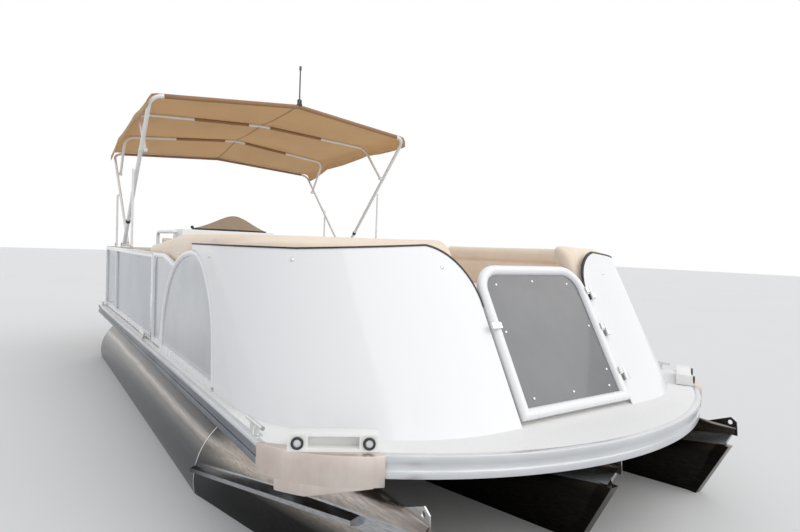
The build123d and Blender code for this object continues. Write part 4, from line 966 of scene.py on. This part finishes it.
@dataclass
class RollBacks:
    """The padded backs inside the bow shells: a thick roll whose top stands above the skin."""

    boat: Boat
    plan: BowPlan
    stuffing: Stuffing
    gap: float = 0.040
    depth: float = 0.116
    low: float = 0.338
    top: float = 0.718
    waist: float = 0.606
    edge: float = 0.378
    length: float = 3.2
    rounding: float = 0.06
    slope_start: float = 2.25
    slope: float = 0.088
    slope_foot: float = 0.45
    sterns: tuple[float, float] = (2.592, 3.10)

    @property
    def middle(self) -> float:
        """Inset of the roll's middle."""
        return self.gap + self.depth / 2

    def section(self) -> list[Pair]:
        """Closed section as inset and height: a flat back, a full roll on top and a pad in front."""
        outer, inner = self.gap, self.gap + self.depth
        half = self.depth / 2
        back = [(outer + 0.012, self.low), (outer, self.low + 0.02), (outer, 0.50), (outer, 0.60)]
        turns = (math.pi * (1 - step / 10) for step in range(11))
        roll = [(self.middle + half * math.cos(a), self.top - half + half * math.sin(a)) for a in turns]
        return back + roll + [
            (inner, 0.63), (inner - 0.012, self.waist), (inner, 0.58), (inner + 0.002, 0.50),
            (inner + 0.001, 0.42), (inner - 0.004, 0.36), (inner - 0.02, self.low)]

    def drop(self, station: float, side: int) -> float:
        """How far the starboard roll's top slopes down towards the stern."""
        return max(0.0, station - self.slope_start) * self.slope if side < 0 else 0.0

    def shares(self) -> list[float]:
        """Places of the rings along the roll, close together at its rounded ends."""
        ends = [s / self.length for s in (0, 0.004, 0.012, 0.026, 0.045, 0.07)]
        body = [0.022 + 0.956 * (0.07 + 0.86 * k / 90) for k in range(1, 90)]
        return ends + body + [1 - s for s in reversed(ends)]

    def ring(self, share: float, stern: float, side: int) -> list[Vector]:
        """The section at a share of the way from the stern to the gate, drawn in at both ends."""
        off = min(share, 1 - share) * self.length
        full = math.sqrt(max(0.0, 1 - max(0.0, 1 - off / self.rounding) ** 2))
        finish = self.plan.quarter + self.plan.centre[0] - self.edge
        ring = []
        for inset, height in self.section():
            start = self.plan.ahead(stern, height)
            inset = self.middle + (inset - self.middle) * (0.3 + 0.7 * full)
            tall = self.low + (height - self.low) * (0.93 + 0.07 * full)
            x, station = self.plan.place(start + (finish - start) * share, inset, tall)
            raised = max(0.0, tall - self.slope_foot) / (self.top - self.slope_foot)
            ring.append(self.boat.datum.at(side * x, station, tall - self.drop(station, side) * raised))
        return ring

    def build(self) -> None:
        """Make both sides."""
        for (name, side), stern in zip(SIDES, self.sterns):
            rings = [self.ring(share, stern, side) for share in self.shares()]
            piece = loft(f"roll_back_{name}", rings, Finish.TAN)
            self.stuffing.batch.append(Sewn(piece, self.seams(side), 0.006, 0.0125))
            self.boat.mount(piece, "hull", "tan_vinyl", f"lounge_back_{name}")

    def seams(self, side: int) -> list[Seam]:
        """Seams along the roll's foot and across it at the ends of its corner."""
        datum = self.boat.datum

        def lengthwise(co: Vector) -> float:
            """Distance below the roll, on the inner face only."""
            x, station, height = datum.back(co)
            inside = 0.0 if self.plan.inset(x, station, height) > self.middle else 1.0
            return height + self.drop(station, side) * 0.6 - self.waist + inside

        def crosswise(at: float) -> Callable[[Vector], float]:
            """Distance along the plan from a place on it."""
            return lambda co: self.plan.along(*datum.back(co)) - at

        return [Seam(lengthwise, 0.008, 0.008)] + [
            Seam(crosswise(at), 0.0035, 0.004) for at in (-0.95, -0.05, self.plan.quarter + 0.02)]


@dataclass
class PadShape:
    """A sewn pad over a plan, thick along its own direction from the face that it rests on."""

    name: str
    body: str
    nodes: tuple[str, ...]
    plan: Plan
    thickness: float
    origin: Triple
    axes: tuple[Triple, Triple, Triple] = ((1, 0, 0), (0, 1, 0), (0, 0, 1))
    channels: int = 0


def oblong(low: Pair, high: Pair) -> Plan:
    """A plan between two corners."""
    return lambda u, v: (low[0] * (1 - u) + high[0] * u, low[1] * (1 - v) + high[1] * v)


@dataclass
class Pads:
    """Every seat and back pad."""

    boat: Boat
    stuffing: Stuffing
    columns: int = 40
    rows: int = 56
    roundness: float = 9.0
    pull: float = 0.012
    crown: float = 0.14

    def point(self, shape: PadShape, p: float, q: float, w: float) -> Vector:
        """A place on the pad in the row frame."""
        place = Vector(shape.origin)
        for amount, axis in zip((p, q, w), shape.axes):
            place += amount * Vector(axis)
        return self.boat.datum.at(*place)

    def surface(self, shape: PadShape, u: float, v: float, top: bool) -> Vector:
        """A place on the upper or lower face, half as high at the rim and drawn in between the corners."""
        full = math.prod(math.sqrt(max(0.0, 1 - abs(2 * s - 1) ** self.roundness)) for s in (u, v))
        over_u, over_v = math.sin(math.pi * u), math.sin(math.pi * v)
        p, q = shape.plan(0.5 + (u - 0.5) * (1 - self.pull * over_v), 0.5 + (v - 0.5) * (1 - self.pull * over_u))
        if top:
            share = 0.5 + 0.5 * full * (1 - self.crown + self.crown * over_u * over_v)
        else:
            share = 0.5 - 0.5 * min(1.0, full * 1.7)
        return self.point(shape, p, q, shape.thickness * share)

    def mesh(self, shape: PadShape) -> bpy.types.Object:
        """A closed pad over a grid, denser towards its rim."""
        columns, rows = (
            [0.5 - 0.5 * math.cos(math.pi * k / count) for k in range(count + 1)]
            for count in (self.columns, self.rows))
        vertices = [self.surface(shape, u, v, top) for top in (True, False) for v in rows for u in columns]
        under = quads(self.rows, self.columns, len(vertices) // 2)
        faces = quads(self.rows, self.columns) + [face[::-1] for face in under]
        return mesh_piece(shape.name, vertices, faces, Finish.TAN)

    def seams(self, shape: PadShape) -> list[Seam]:
        """Sewn channels across the pad's crown, evenly spaced over its length."""
        first, last = (self.point(shape, *shape.plan(0.5, v), 0) for v in (0.0, 1.0))
        way = (last - first).normalized()
        out = (self.point(shape, 0, 0, 1) - self.point(shape, 0, 0, 0)).normalized()
        crown = shape.thickness * 0.55

        def channel(at: Vector) -> Callable[[Vector], float]:
            """Distance from the channel at a place, far away under the crown."""
            return lambda co: (co - at).dot(way) + (1.0 if (co - at).dot(out) < crown else 0.0)

        spans = shape.channels + 1
        return [Seam(channel(first.lerp(last, k / spans)), 0.009, 0.009) for k in range(1, spans)]

    def build(self, shapes: Iterable[PadShape]) -> None:
        """Make and mount each pad."""
        for shape in shapes:
            piece = self.mesh(shape)
            floor = self.point(shape, 0, 0, 0).z if shape.axes[2][2] == 1 else -math.inf
            self.stuffing.batch.append(Sewn(piece, self.seams(shape), 0.009, 0.0095, floor))
            self.boat.mount(piece, shape.body, "tan_vinyl", *shape.nodes)


def seat_pads(plan: BowPlan) -> Iterable[PadShape]:
    """Every cushion on the boat, from the bow."""
    inner, outer, thick = 0.604, 1.060, 0.094
    seat = (0, 0, 0.332)
    lean = Vector((0, 0.11, 0.37)).normalized()
    radius = plan.corner - 0.174
    middle = plan.ahead(0, 0.38)

    def tip(side: int) -> Plan:
        """A plan whose outer edge follows the bow's corner."""
        def place(u: float, v: float) -> Pair:
            """From the inner edge out to the corner's arc."""
            station = 0.705 + 0.462 * v
            reach = plan.centre[0] + math.sqrt(max(0.0, radius ** 2 - (middle - station) ** 2))
            return side * (inner + (min(reach, outer) - inner) * u), station
        return place

    for name, side in SIDES:
        low, high = sorted((side * inner, side * outer))
        yield PadShape(f"lid_pad_{name}", f"lounge_lid_{name}", (f"lounge_lid_{name}",),
                       oblong((low, 1.192), (high, 2.218)), thick, seat, channels=2)
        yield PadShape(f"stern_pad_{name}", "hull", ("lounge_pads",) if side > 0 else (),
                       oblong((low, 2.240), (high, 2.504)), thick, seat)
        yield PadShape(f"bow_pad_{name}", "hull", (), tip(side), thick, seat)
        yield PadShape(f"leaning_back_{name}", "hull", (), oblong((low, 0.006), (high, 0.382)), 0.076,
                       (0, 2.597, 0.331), ((1, 0, 0), tuple(lean), (0, -lean.z, lean.y)), channels=1)
    yield PadShape("bench_lid_pad", "bench_lid", ("stern_bench_lid",), oblong((4.445, -1.050), (4.905, 0.393)),
                   thick, seat, ((0, 1, 0), (1, 0, 0), (0, 0, 1)), channels=2)
    yield PadShape("bench_back_pad", "hull", ("stern_bench_back",), oblong((0.334, -1.070), (0.562, 0.416)),
                   0.122, (0, 5.043, 0), ((0, 0, 1), (1, 0, 0), (0, -1, 0)), channels=2)
    yield PadShape("bench_arm_pad", "hull", (), oblong((4.444, 0.334), (5.040, 0.562)),
                   0.120, (-1.204, 0, 0), ((0, 1, 0), (0, 0, 1), (1, 0, 0)))
    yield PadShape("chair_seat_pad", "chair", ("chair_cushions",), oblong((-0.931, 3.679), (-0.459, 4.121)),
                   thick, (0, 0, 0.342), channels=1)
    yield PadShape("chair_back_pad", "chair", (), oblong((-0.931, 0.442), (-0.459, 0.697)),
                   0.092, (0, 4.122, 0), ((1, 0, 0), (0, 0, 1), (0, -1, 0)), channels=1)


# Canopy


@dataclass
class CanopyHoop:
    """One hoop under the cloth: its pivot, lean, corner and crown, its size, and how wide the cloth lies there."""

    pivot: Pair
    angle: float
    corner: float
    crown: float
    half_width: float
    radius: float
    cloth_half: float

    def up(self, along: float) -> Pair:
        """Station and height of a place on the hoop's lean, so far from its pivot."""
        turn = math.radians(self.angle)
        return self.pivot[0] + along * math.cos(turn), self.pivot[1] + along * math.sin(turn)

    def place(self, across: float, along: float, drop: float = 0.0) -> Vector:
        """A place across the boat and up the hoop from its pivot, or some way straight below it."""
        station, height = self.up(along)
        return Vector((across, station, height - drop))

    def crown_place(self, across: float) -> Vector:
        """A place on the middle line of the crown tube."""
        return self.place(across, self.crown - (self.crown - self.corner) * abs(across) / self.half_width)

    def outline(self, bend: float, hem: float, count: int) -> list[Vector]:
        """Points evenly spaced over the hoop from one hem to the other, lifted off the tube."""
        lift = self.radius + 0.002
        half, corner = self.cloth_half, self.corner
        line = bent([self.place(-half, corner, hem), self.place(-half, corner), self.place(0, self.crown),
                     self.place(half, corner), self.place(half, corner, hem)], bend, 10)
        lengths = [0.0]
        for before, after in zip(line, line[1:]):
            lengths.append(lengths[-1] + (after - before).length)
        result = []
        for step in range(count + 1):
            want = lengths[-1] * step / count
            index = next((k for k in range(1, len(lengths)) if lengths[k] >= want - 1e-9), len(lengths) - 1)
            share = (want - lengths[index - 1]) / max(lengths[index] - lengths[index - 1], 1e-9)
            along = line[index] - line[index - 1]
            out = Vector((-along.z, 0, along.x)).normalized()
            result.append(line[index - 1].lerp(line[index], share) + out * lift)
        return result


@dataclass
class Canopy:
    """The awning: one cloth over four hoops, with hems, sleeves and collars."""

    boat: Boat
    foot: Pair = (4.52, 0.618)
    bend: float = 0.095
    hem: float = 0.075
    across: int = 96
    between: int = 14
    sag: float = 0.012
    ripple: float = 0.005
    cloth: float = 0.0016

    @cached_property
    def hoops(self) -> list[CanopyHoop]:
        """The four hoops from the bow; the inner two turn on the legs of the outer two."""
        front = CanopyHoop(self.foot, 134.8, 1.61, 1.745, 1.165, 0.016, 1.165)
        rear = CanopyHoop(self.foot, 42.8, 1.425, 1.56, 1.131, 0.0125, 1.150)
        second = CanopyHoop(front.up(1.10), 45.4, 0.50, 0.612, 1.131, 0.0125, 1.157)
        third = CanopyHoop(rear.up(1.078), 127.0, 0.433, 0.56, 1.1005, 0.0125, 1.150)
        return [front, second, third, rear]

    def rows(self) -> list[list[Vector]]:
        """The cloth's rows from the front hem to the rear, sagging a little between the hoops."""
        lines = [hoop.outline(self.bend, self.hem, self.across) for hoop in self.hoops]
        rows = []
        for first, second in zip(lines, lines[1:]):
            for step in range(self.between):
                share = step / self.between
                drop = self.sag * 4 * share * (1 - share)
                row = []
                for a, b in zip(first, second):
                    place = a.lerp(b, share)
                    wave = noise.noise((place.x * 2.6, place.y * 4.2, 0.3)) * self.ripple * min(1.0, drop * 200)
                    row.append(place - Vector((0, 0, drop + abs(wave))))
                rows.append(row)
        return [*rows, lines[-1]]

    def build(self) -> None:
        """Make the cloth, then its sleeves and collars."""
        rows = self.rows()
        vertices = [self.boat.datum.at(*place) for row in rows for place in row]
        faces = quads(len(rows) - 1, self.across)
        width = sum((a - b).length for a, b in zip(rows[0], rows[0][1:]))
        cloth = mesh_piece("canopy_cloth", vertices, faces, Finish.CANVAS)
        thick = cloth.modifiers.new("cloth", "SOLIDIFY")
        thick.thickness = self.cloth
        thick.offset = 1.0
        settle(cloth)
        self.boat.mount(cloth, "hull", "tan_canvas", "canopy")
        at = self.boat.datum.at(0, 5.66, 0.618)
        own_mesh(cloth)
        self.sleeves()
        self.collars()

    def sleeves(self) -> None:
        """Pockets of darker cloth around the crown tubes."""
        plans = (
            ("bimini_front", ((-1.07, 1.07),)),
            ("bimini_second", ((-0.66, -0.14), (0.08, 0.62))),
            ("bimini_third", ((-0.62, -0.12), (0.10, 0.60))),
            ("hull", ((-1.06, 1.06),)),
        )
        for index, (hoop, (body, spans)) in enumerate(zip(self.hoops, plans)):
            parts = []
            for start, end in spans:
                places = (start + (end - start) * k / 12 for k in range(13))
                path = [self.boat.datum.at(*hoop.crown_place(x)) for x in places]
                parts.append(tube(f"sleeve_{index}_{len(parts)}", path, hoop.radius + 0.001, Finish.SLEEVE, 20))
            self.boat.mount(joined(f"sleeve_{index}", parts), body, "tan_canvas")

    def collars(self) -> None:
        """Dark collars low on the front legs, and plain ones where braces and inner hoops meet the legs."""
        dark, plain = Finish.PLASTIC, Finish.MOULDING
        plans = (
            (0, "bimini_front", ((0.30, 0.0195, dark), (0.62, 0.0175, plain), (1.10, 0.0175, plain))),
            (3, "hull", ((0.74, 0.0145, plain), (1.078, 0.0145, plain))),
        )
        bore, edge, tall = 0.002, 0.002, 0.032
        for index, body, places in plans:
            hoop = self.hoops[index]
            parts = []
            for along, rim, finish in places:
                profile = [(bore, 0), (rim - edge, 0), (rim, edge), (rim, tall - edge), (rim - edge, tall),
                           (bore, tall)]
                for side in (-1, 1):
                    low, high = (hoop.place(side * hoop.half_width, along + half) for half in (-tall / 2, tall / 2))
                    parts.append(turned(f"collar_{index}_{len(parts)}", profile, self.boat.datum.at(*low),
                                        (high - low).normalized(), finish, 20))
            self.boat.mount(joined(f"collars_{index}", parts), body, "black_plastic")


# Fittings


@dataclass
class Fittings:
    """Screws, rivets, lamp rings, the screen's gasket and other small pieces."""

    boat: Boat
    plan: BowPlan

    def shell_screws(self) -> None:
        """Screws just under the bead on both shells, pointing out of the skin and a little up."""
        places = []
        for side, last in ((-1, (1.18, 0.60)), (1, (1.12, 0.58))):
            for along, height in ((-0.62, 0.60), (-0.02, 0.605), (0.55, 0.612), last):
                foot, tip = (self.plan.place(along, -off, height) for off in (0.0005, 0.05))
                foot, tip = (self.boat.datum.at(side * x, station, height) for x, station in (foot, tip))
                places.append((foot, (tip - foot + Vector((0, 0, 0.02))).normalized()))
        self.boat.mount(studs("shell_screws", places, 0.0085, 0.0045), "hull", "bright_steel")

    def gate_screws(self) -> None:
        """Nine screws around the smoked gate panel."""
        low, high = (Vector(corner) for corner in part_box("bow_gate_panel"))
        slope = Vector((0, high.y - low.y, high.z - low.z)).normalized()
        out = Vector((0, -slope.z, slope.y))
        middle = (low + high) / 2
        half_x = (high.x - low.x) / 2 - 0.035
        half_z = (high - low).yz.length / 2 - 0.04
        spots = [(-0.86, 0.94), (0.0, 1.0), (0.86, 0.94), (-1, 0.1), (1, 0.1), (1, -0.72), (-0.9, -1), (0, -1),
                 (0.9, -1)]
        places = [(middle + Vector((half_x * a, 0, 0)) + slope * half_z * b + out * 0.0025, out) for a, b in spots]
        self.boat.mount(studs("gate_screws", places, 0.007, 0.004), "bow_gate", "bright_steel")

    def rivets(self) -> None:
        """A row of rivets along the top of each main side panel."""
        across, height, count = 1.2312, 0.542, 22
        places = [(self.boat.datum.at(side * across, start + k * pitch, height), Vector((side, 0, 0)))
                  for side, start, pitch in ((-1, 2.83, 0.072), (1, 3.47, 0.042)) for k in range(count)]
        self.boat.mount(studs("panel_rivets", places, 0.0045, 0.002), "hull", "bright_steel")

    def lamps(self) -> None:
        """Black rings and clear lenses on the corner lamps."""
        ring = [(0.0135, -0.004), (0.0135, 0.003), (0.015, 0.0045), (0.0185, 0.0045), (0.0205, 0.003),
                (0.0205, -0.004)]
        lens = [(0.0, 0.0035), (0.007, 0.003), (0.0135, 0.0015), (0.0138, -0.003), (0.0, -0.003)]
        parts = []
        for side in (-1, 1):
            turn = math.radians(30) * side
            along, out = (Vector(way) for way in (
                (math.cos(turn), math.sin(turn), 0), (math.sin(turn), -math.cos(turn), 0)))
            for end in (-1, 1):
                spot = Vector((side * 1.094, 0.436, 0.030)) + along * end * 0.117 + out * 0.041
                at = self.boat.datum.at(*spot)
                for title, profile, finish in (("ring", ring, Finish.PLASTIC), ("lens", lens, Finish.LENS)):
                    parts.append(turned(f"lamp_{side}_{end}_{title}", profile, at, out, finish))
        self.boat.mount(joined("lamp_rings", parts), "hull", "black_plastic")

    def gasket(self) -> None:
        """The windscreen's gasket, with a knob at its outboard end."""
        low, high = (Vector(corner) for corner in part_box("windscreen"))
        path = []
        for share in (k / 24 for k in range(25)):
            bow = 4 * share * (1 - share)
            path.append(Vector((low.x + (high.x - low.x) * share, high.y - (high.y - low.y) * bow, low.z + 0.006)))
        knob = [(0.0, -0.008), (0.009, -0.007), (0.012, 0.0), (0.009, 0.007), (0.0, 0.008)]
        parts = [tube("gasket_strip", path, 0.0065, Finish.RUBBER),
                 turned("gasket_knob", knob, path[0] + Vector((0, 0, 0.012)), Vector((0, -1, 0.2)), Finish.RUBBER)]
        self.boat.mount(joined("screen_gasket", parts), "hull", "black_plastic")

    def gussets(self) -> None:
        """Curved webs between the first fence posts and their rails."""
        post, rail, reach, depth = 2.72, 0.560, 0.06, 0.085
        inner, outer = 1.2215, 1.2365
        parts = []
        for side in (-1, 1):
            for way in (-1, 1):
                corner = post + way * 0.014
                outline = [(corner, rail)]
                for turn in (math.pi / 2 * k / 8 for k in range(9)):
                    outline.append((corner + way * reach * (1 - math.sin(turn)), rail - depth * (1 - math.cos(turn))))
                rings = [[self.boat.datum.at(side * x, s, z) for s, z in outline] for x in (inner, outer)]
                parts.append(loft(f"gusset_{side}_{way}", rings, Finish.TUBE))
        self.boat.mount(joined("rail_gussets", parts), "hull", "white_tube")

    def welds(self) -> None:
        """A weld bead where each nose joins its barrel."""
        reach, middle, station = 0.3178, -0.4625, 1.5
        parts = []
        for x in (-0.95, 0.0, 0.95):
            ring = [self.boat.datum.at(x + reach * cos, station, reach * sin + middle) for cos, sin in circle(64)]
            parts.append(tube(f"weld_{x}", ring, 0.0026, Finish.STEEL, 8, True))
        self.boat.mount(joined("nose_welds", parts), "hull", "raw_aluminium")

    def dials(self) -> None:
        """Gauges on the console's sloping face."""
        rim = [(0.031, -0.001), (0.036, -0.001), (0.036, 0.003), (0.033, 0.004), (0.031, 0.0035)]
        face = [(0.0, 0.001), (0.031, 0.001), (0.031, -0.001), (0.0, -0.001)]
        down, out = Vector((0, 0.15, -0.287)).normalized(), Vector((0, 0.287, 0.15)).normalized()
        row = self.boat.datum.at(-0.695, 3.130, 0.755) + down * 0.055
        parts = []
        for k, across in enumerate((-0.20, -0.10, 0.10, 0.20)):
            for title, profile, finish in (("rim", rim, Finish.STEEL), ("face", face, Finish.PLASTIC)):
                parts.append(turned(f"dial_{title}_{k}", profile, row + Vector((across, 0, 0)), out, finish))
        self.boat.mount(joined("helm_dials", parts), "hull", "black_plastic")

    def build(self) -> None:
        """Make them all."""
        for step in (self.shell_screws, self.gate_screws, self.rivets, self.lamps, self.gasket, self.gussets,
                     self.welds, self.dials):
            step()


# Stage


@dataclass
class Stage:
    """Floor at the height to which the boat floats, lamps, backdrop colour and the camera."""

    height: float = 0.27
    reach: float = 60.0
    eye: Triple = (-1.963, -4.493, 1.470)
    yaw: float = 0.6027
    pitch: float = 0.0305
    roll: float = 0.037
    focal: float = 553.3
    image_width: float = 800.0
    sensor: float = 36.0

    def floor(self) -> None:
        """A pale floor that keeps the boat's shadow."""
        bench = Bench("pale_floor")
        base = bench.mix(bench.cloud(0.6, 3), (0.73, 0.73, 0.73), (0.76, 0.76, 0.76))
        mesh = bpy.data.meshes.new("floor")
        r, z = self.reach, self.height
        mesh.from_pydata([(-r, -r, z), (r, -r, z), (r, r, z), (-r, r, z)], [], [(0, 1, 2, 3)])
        mesh.materials.append(bench.coat(base_color=base, roughness=0.9))
        placed("floor", mesh)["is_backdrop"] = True

    def world(self) -> None:
        """White to the camera and to reflections, softer as a lamp."""
        world = bpy.data.worlds.new("studio")
        world.use_nodes = True
        world.node_tree.nodes.clear()
        node = Tree(world.node_tree).node
        path = node("ShaderNodeLightPath").outputs
        add = {"operation": "ADD"}
        both = node("ShaderNodeMath", add, {0: path["Is Camera Ray"], 1: path["Is Glossy Ray"]})
        seen = node("ShaderNodeMath", add | {"use_clamp": True}, {0: both, 1: path["Is Transmission Ray"]})
        lamp = node("ShaderNodeBackground", None, {0: (0.93, 0.96, 1.0, 1), 1: 0.67})
        white = node("ShaderNodeBackground", None, {0: (1, 1, 1, 1), 1: 1.0})
        mix = node("ShaderNodeMixShader", None, {0: seen, 1: lamp, 2: white})
        node("ShaderNodeOutputWorld", None, {0: mix})
        bpy.context.scene.world = world

    def lamp(self) -> None:
        """One broad high lamp."""
        lamp = bpy.data.lights.new("high_lamp", "SUN")
        lamp.energy = 1.42
        lamp.angle = math.radians(80)
        lamp.color = (1.0, 0.98, 0.95)
        piece = placed("high_lamp", lamp)
        piece.rotation_mode = "QUATERNION"
        piece.rotation_quaternion = Vector((-0.3, 0.8, -1.0)).to_track_quat("-Z", "Y")

    def camera(self) -> None:
        """The photograph's viewpoint."""
        cos_yaw, sin_yaw = math.cos(self.yaw), math.sin(self.yaw)
        cos_pitch, sin_pitch = math.cos(self.pitch), math.sin(self.pitch)
        cos_roll, sin_roll = math.cos(self.roll), math.sin(self.roll)
        ahead = Vector((sin_yaw * cos_pitch, cos_yaw * cos_pitch, -sin_pitch))
        right = Vector((cos_yaw, -sin_yaw, 0))
        up = right.cross(ahead)
        data = bpy.data.cameras.new("camera")
        data.sensor_width = self.sensor
        data.sensor_fit = "HORIZONTAL"
        data.lens = self.focal / self.image_width * self.sensor
        data.clip_end = 300
        piece = placed("camera", data)
        axes = (cos_roll * right + sin_roll * up, cos_roll * up - sin_roll * right, -ahead)
        matrix = Matrix(axes).transposed().to_4x4()
        matrix.translation = Vector(self.eye)
        piece.matrix_world = matrix
        bpy.context.scene.camera = piece

    def build(self) -> None:
        """Set the stage."""
        for step in (self.floor, self.world, self.lamp, self.camera):
            step()
        bpy.context.scene.view_settings.view_transform = "Standard"


DRESS = (
    (Finish.HULL, 0, "pontoon_port pontoon_centre pontoon_starboard"),
    (Finish.MILL, 0.001, "deck_frame motor_pod"),
    (Finish.BOARD, 0, "deck_board"),
    (Finish.FLOOR, 0, "deck_vinyl"),
    (Finish.TRIM, 0.0015, "deck_trim"),
    (Finish.MOULDING, 0.002, "lamp_boxes"),
    (Finish.CASTING, 0.003, "bow_corners"),
    (Finish.STEEL, 0, "cleats hinge_mounts bow_gate_fittings ladder bimini_feet chair_pedestal"),
    (Finish.MAST, 0, "light_mast"),
    (Finish.RUBBER, 0, "bow_beads"),
    (Finish.SHELL, 0, "bow_shell_port bow_shell_starboard"),
    (Finish.PLASTIC, 0, "helm_fittings steering_wheel light_base outboard_bracket outboard_swivel propeller "
                        "chair_frame"),
    (Finish.MOULDING, 0.006, "lounge_base_port lounge_base_starboard stern_bench_base helm_console"),
    (Finish.TUBE, 0, "bow_gate_frame fence_port fence_starboard stern_fence stern_gate_frame side_gate_frame "
                     "bimini_front_hoop bimini_second_hoop bimini_third_hoop bimini_rear_hoop "
                     "bimini_front_braces helm_rail"),
    (Finish.SMOKE, 0, "bow_gate_panel"),
    (Finish.SHEET, 0, "fence_panels side_gate_panel stern_gate_panel"),
    (Finish.TINT, 0, "windscreen"),
    (Finish.MOTOR, 0, "outboard_cowl outboard_leg"),
)


def main() -> dict:
    """Build the scene.
    """
    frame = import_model()
    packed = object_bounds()
    boat = Boat(frame)
    Stage().build()
    for finish, bevel, nodes in DRESS:
        boat.dress(finish, bevel, nodes)
    plan = BowPlan()
    stuffing = Stuffing()
    RollBacks(boat, plan, stuffing).build()
    Pads(boat, stuffing).build(seat_pads(plan))
    stuffing.run()
    Canopy(boat).build()
    Fittings(boat, plan).build()
    return {"packed": packed}


if __name__ == "__main__":
    logging.basicConfig(level=logging.INFO, format="%(message)s")
    kept = main()
    sizes = {key: [list(map(float, corner)) for corner in value] for key, value in kept.items()}
    sizes["visual"] = [list(map(float, corner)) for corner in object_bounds()]
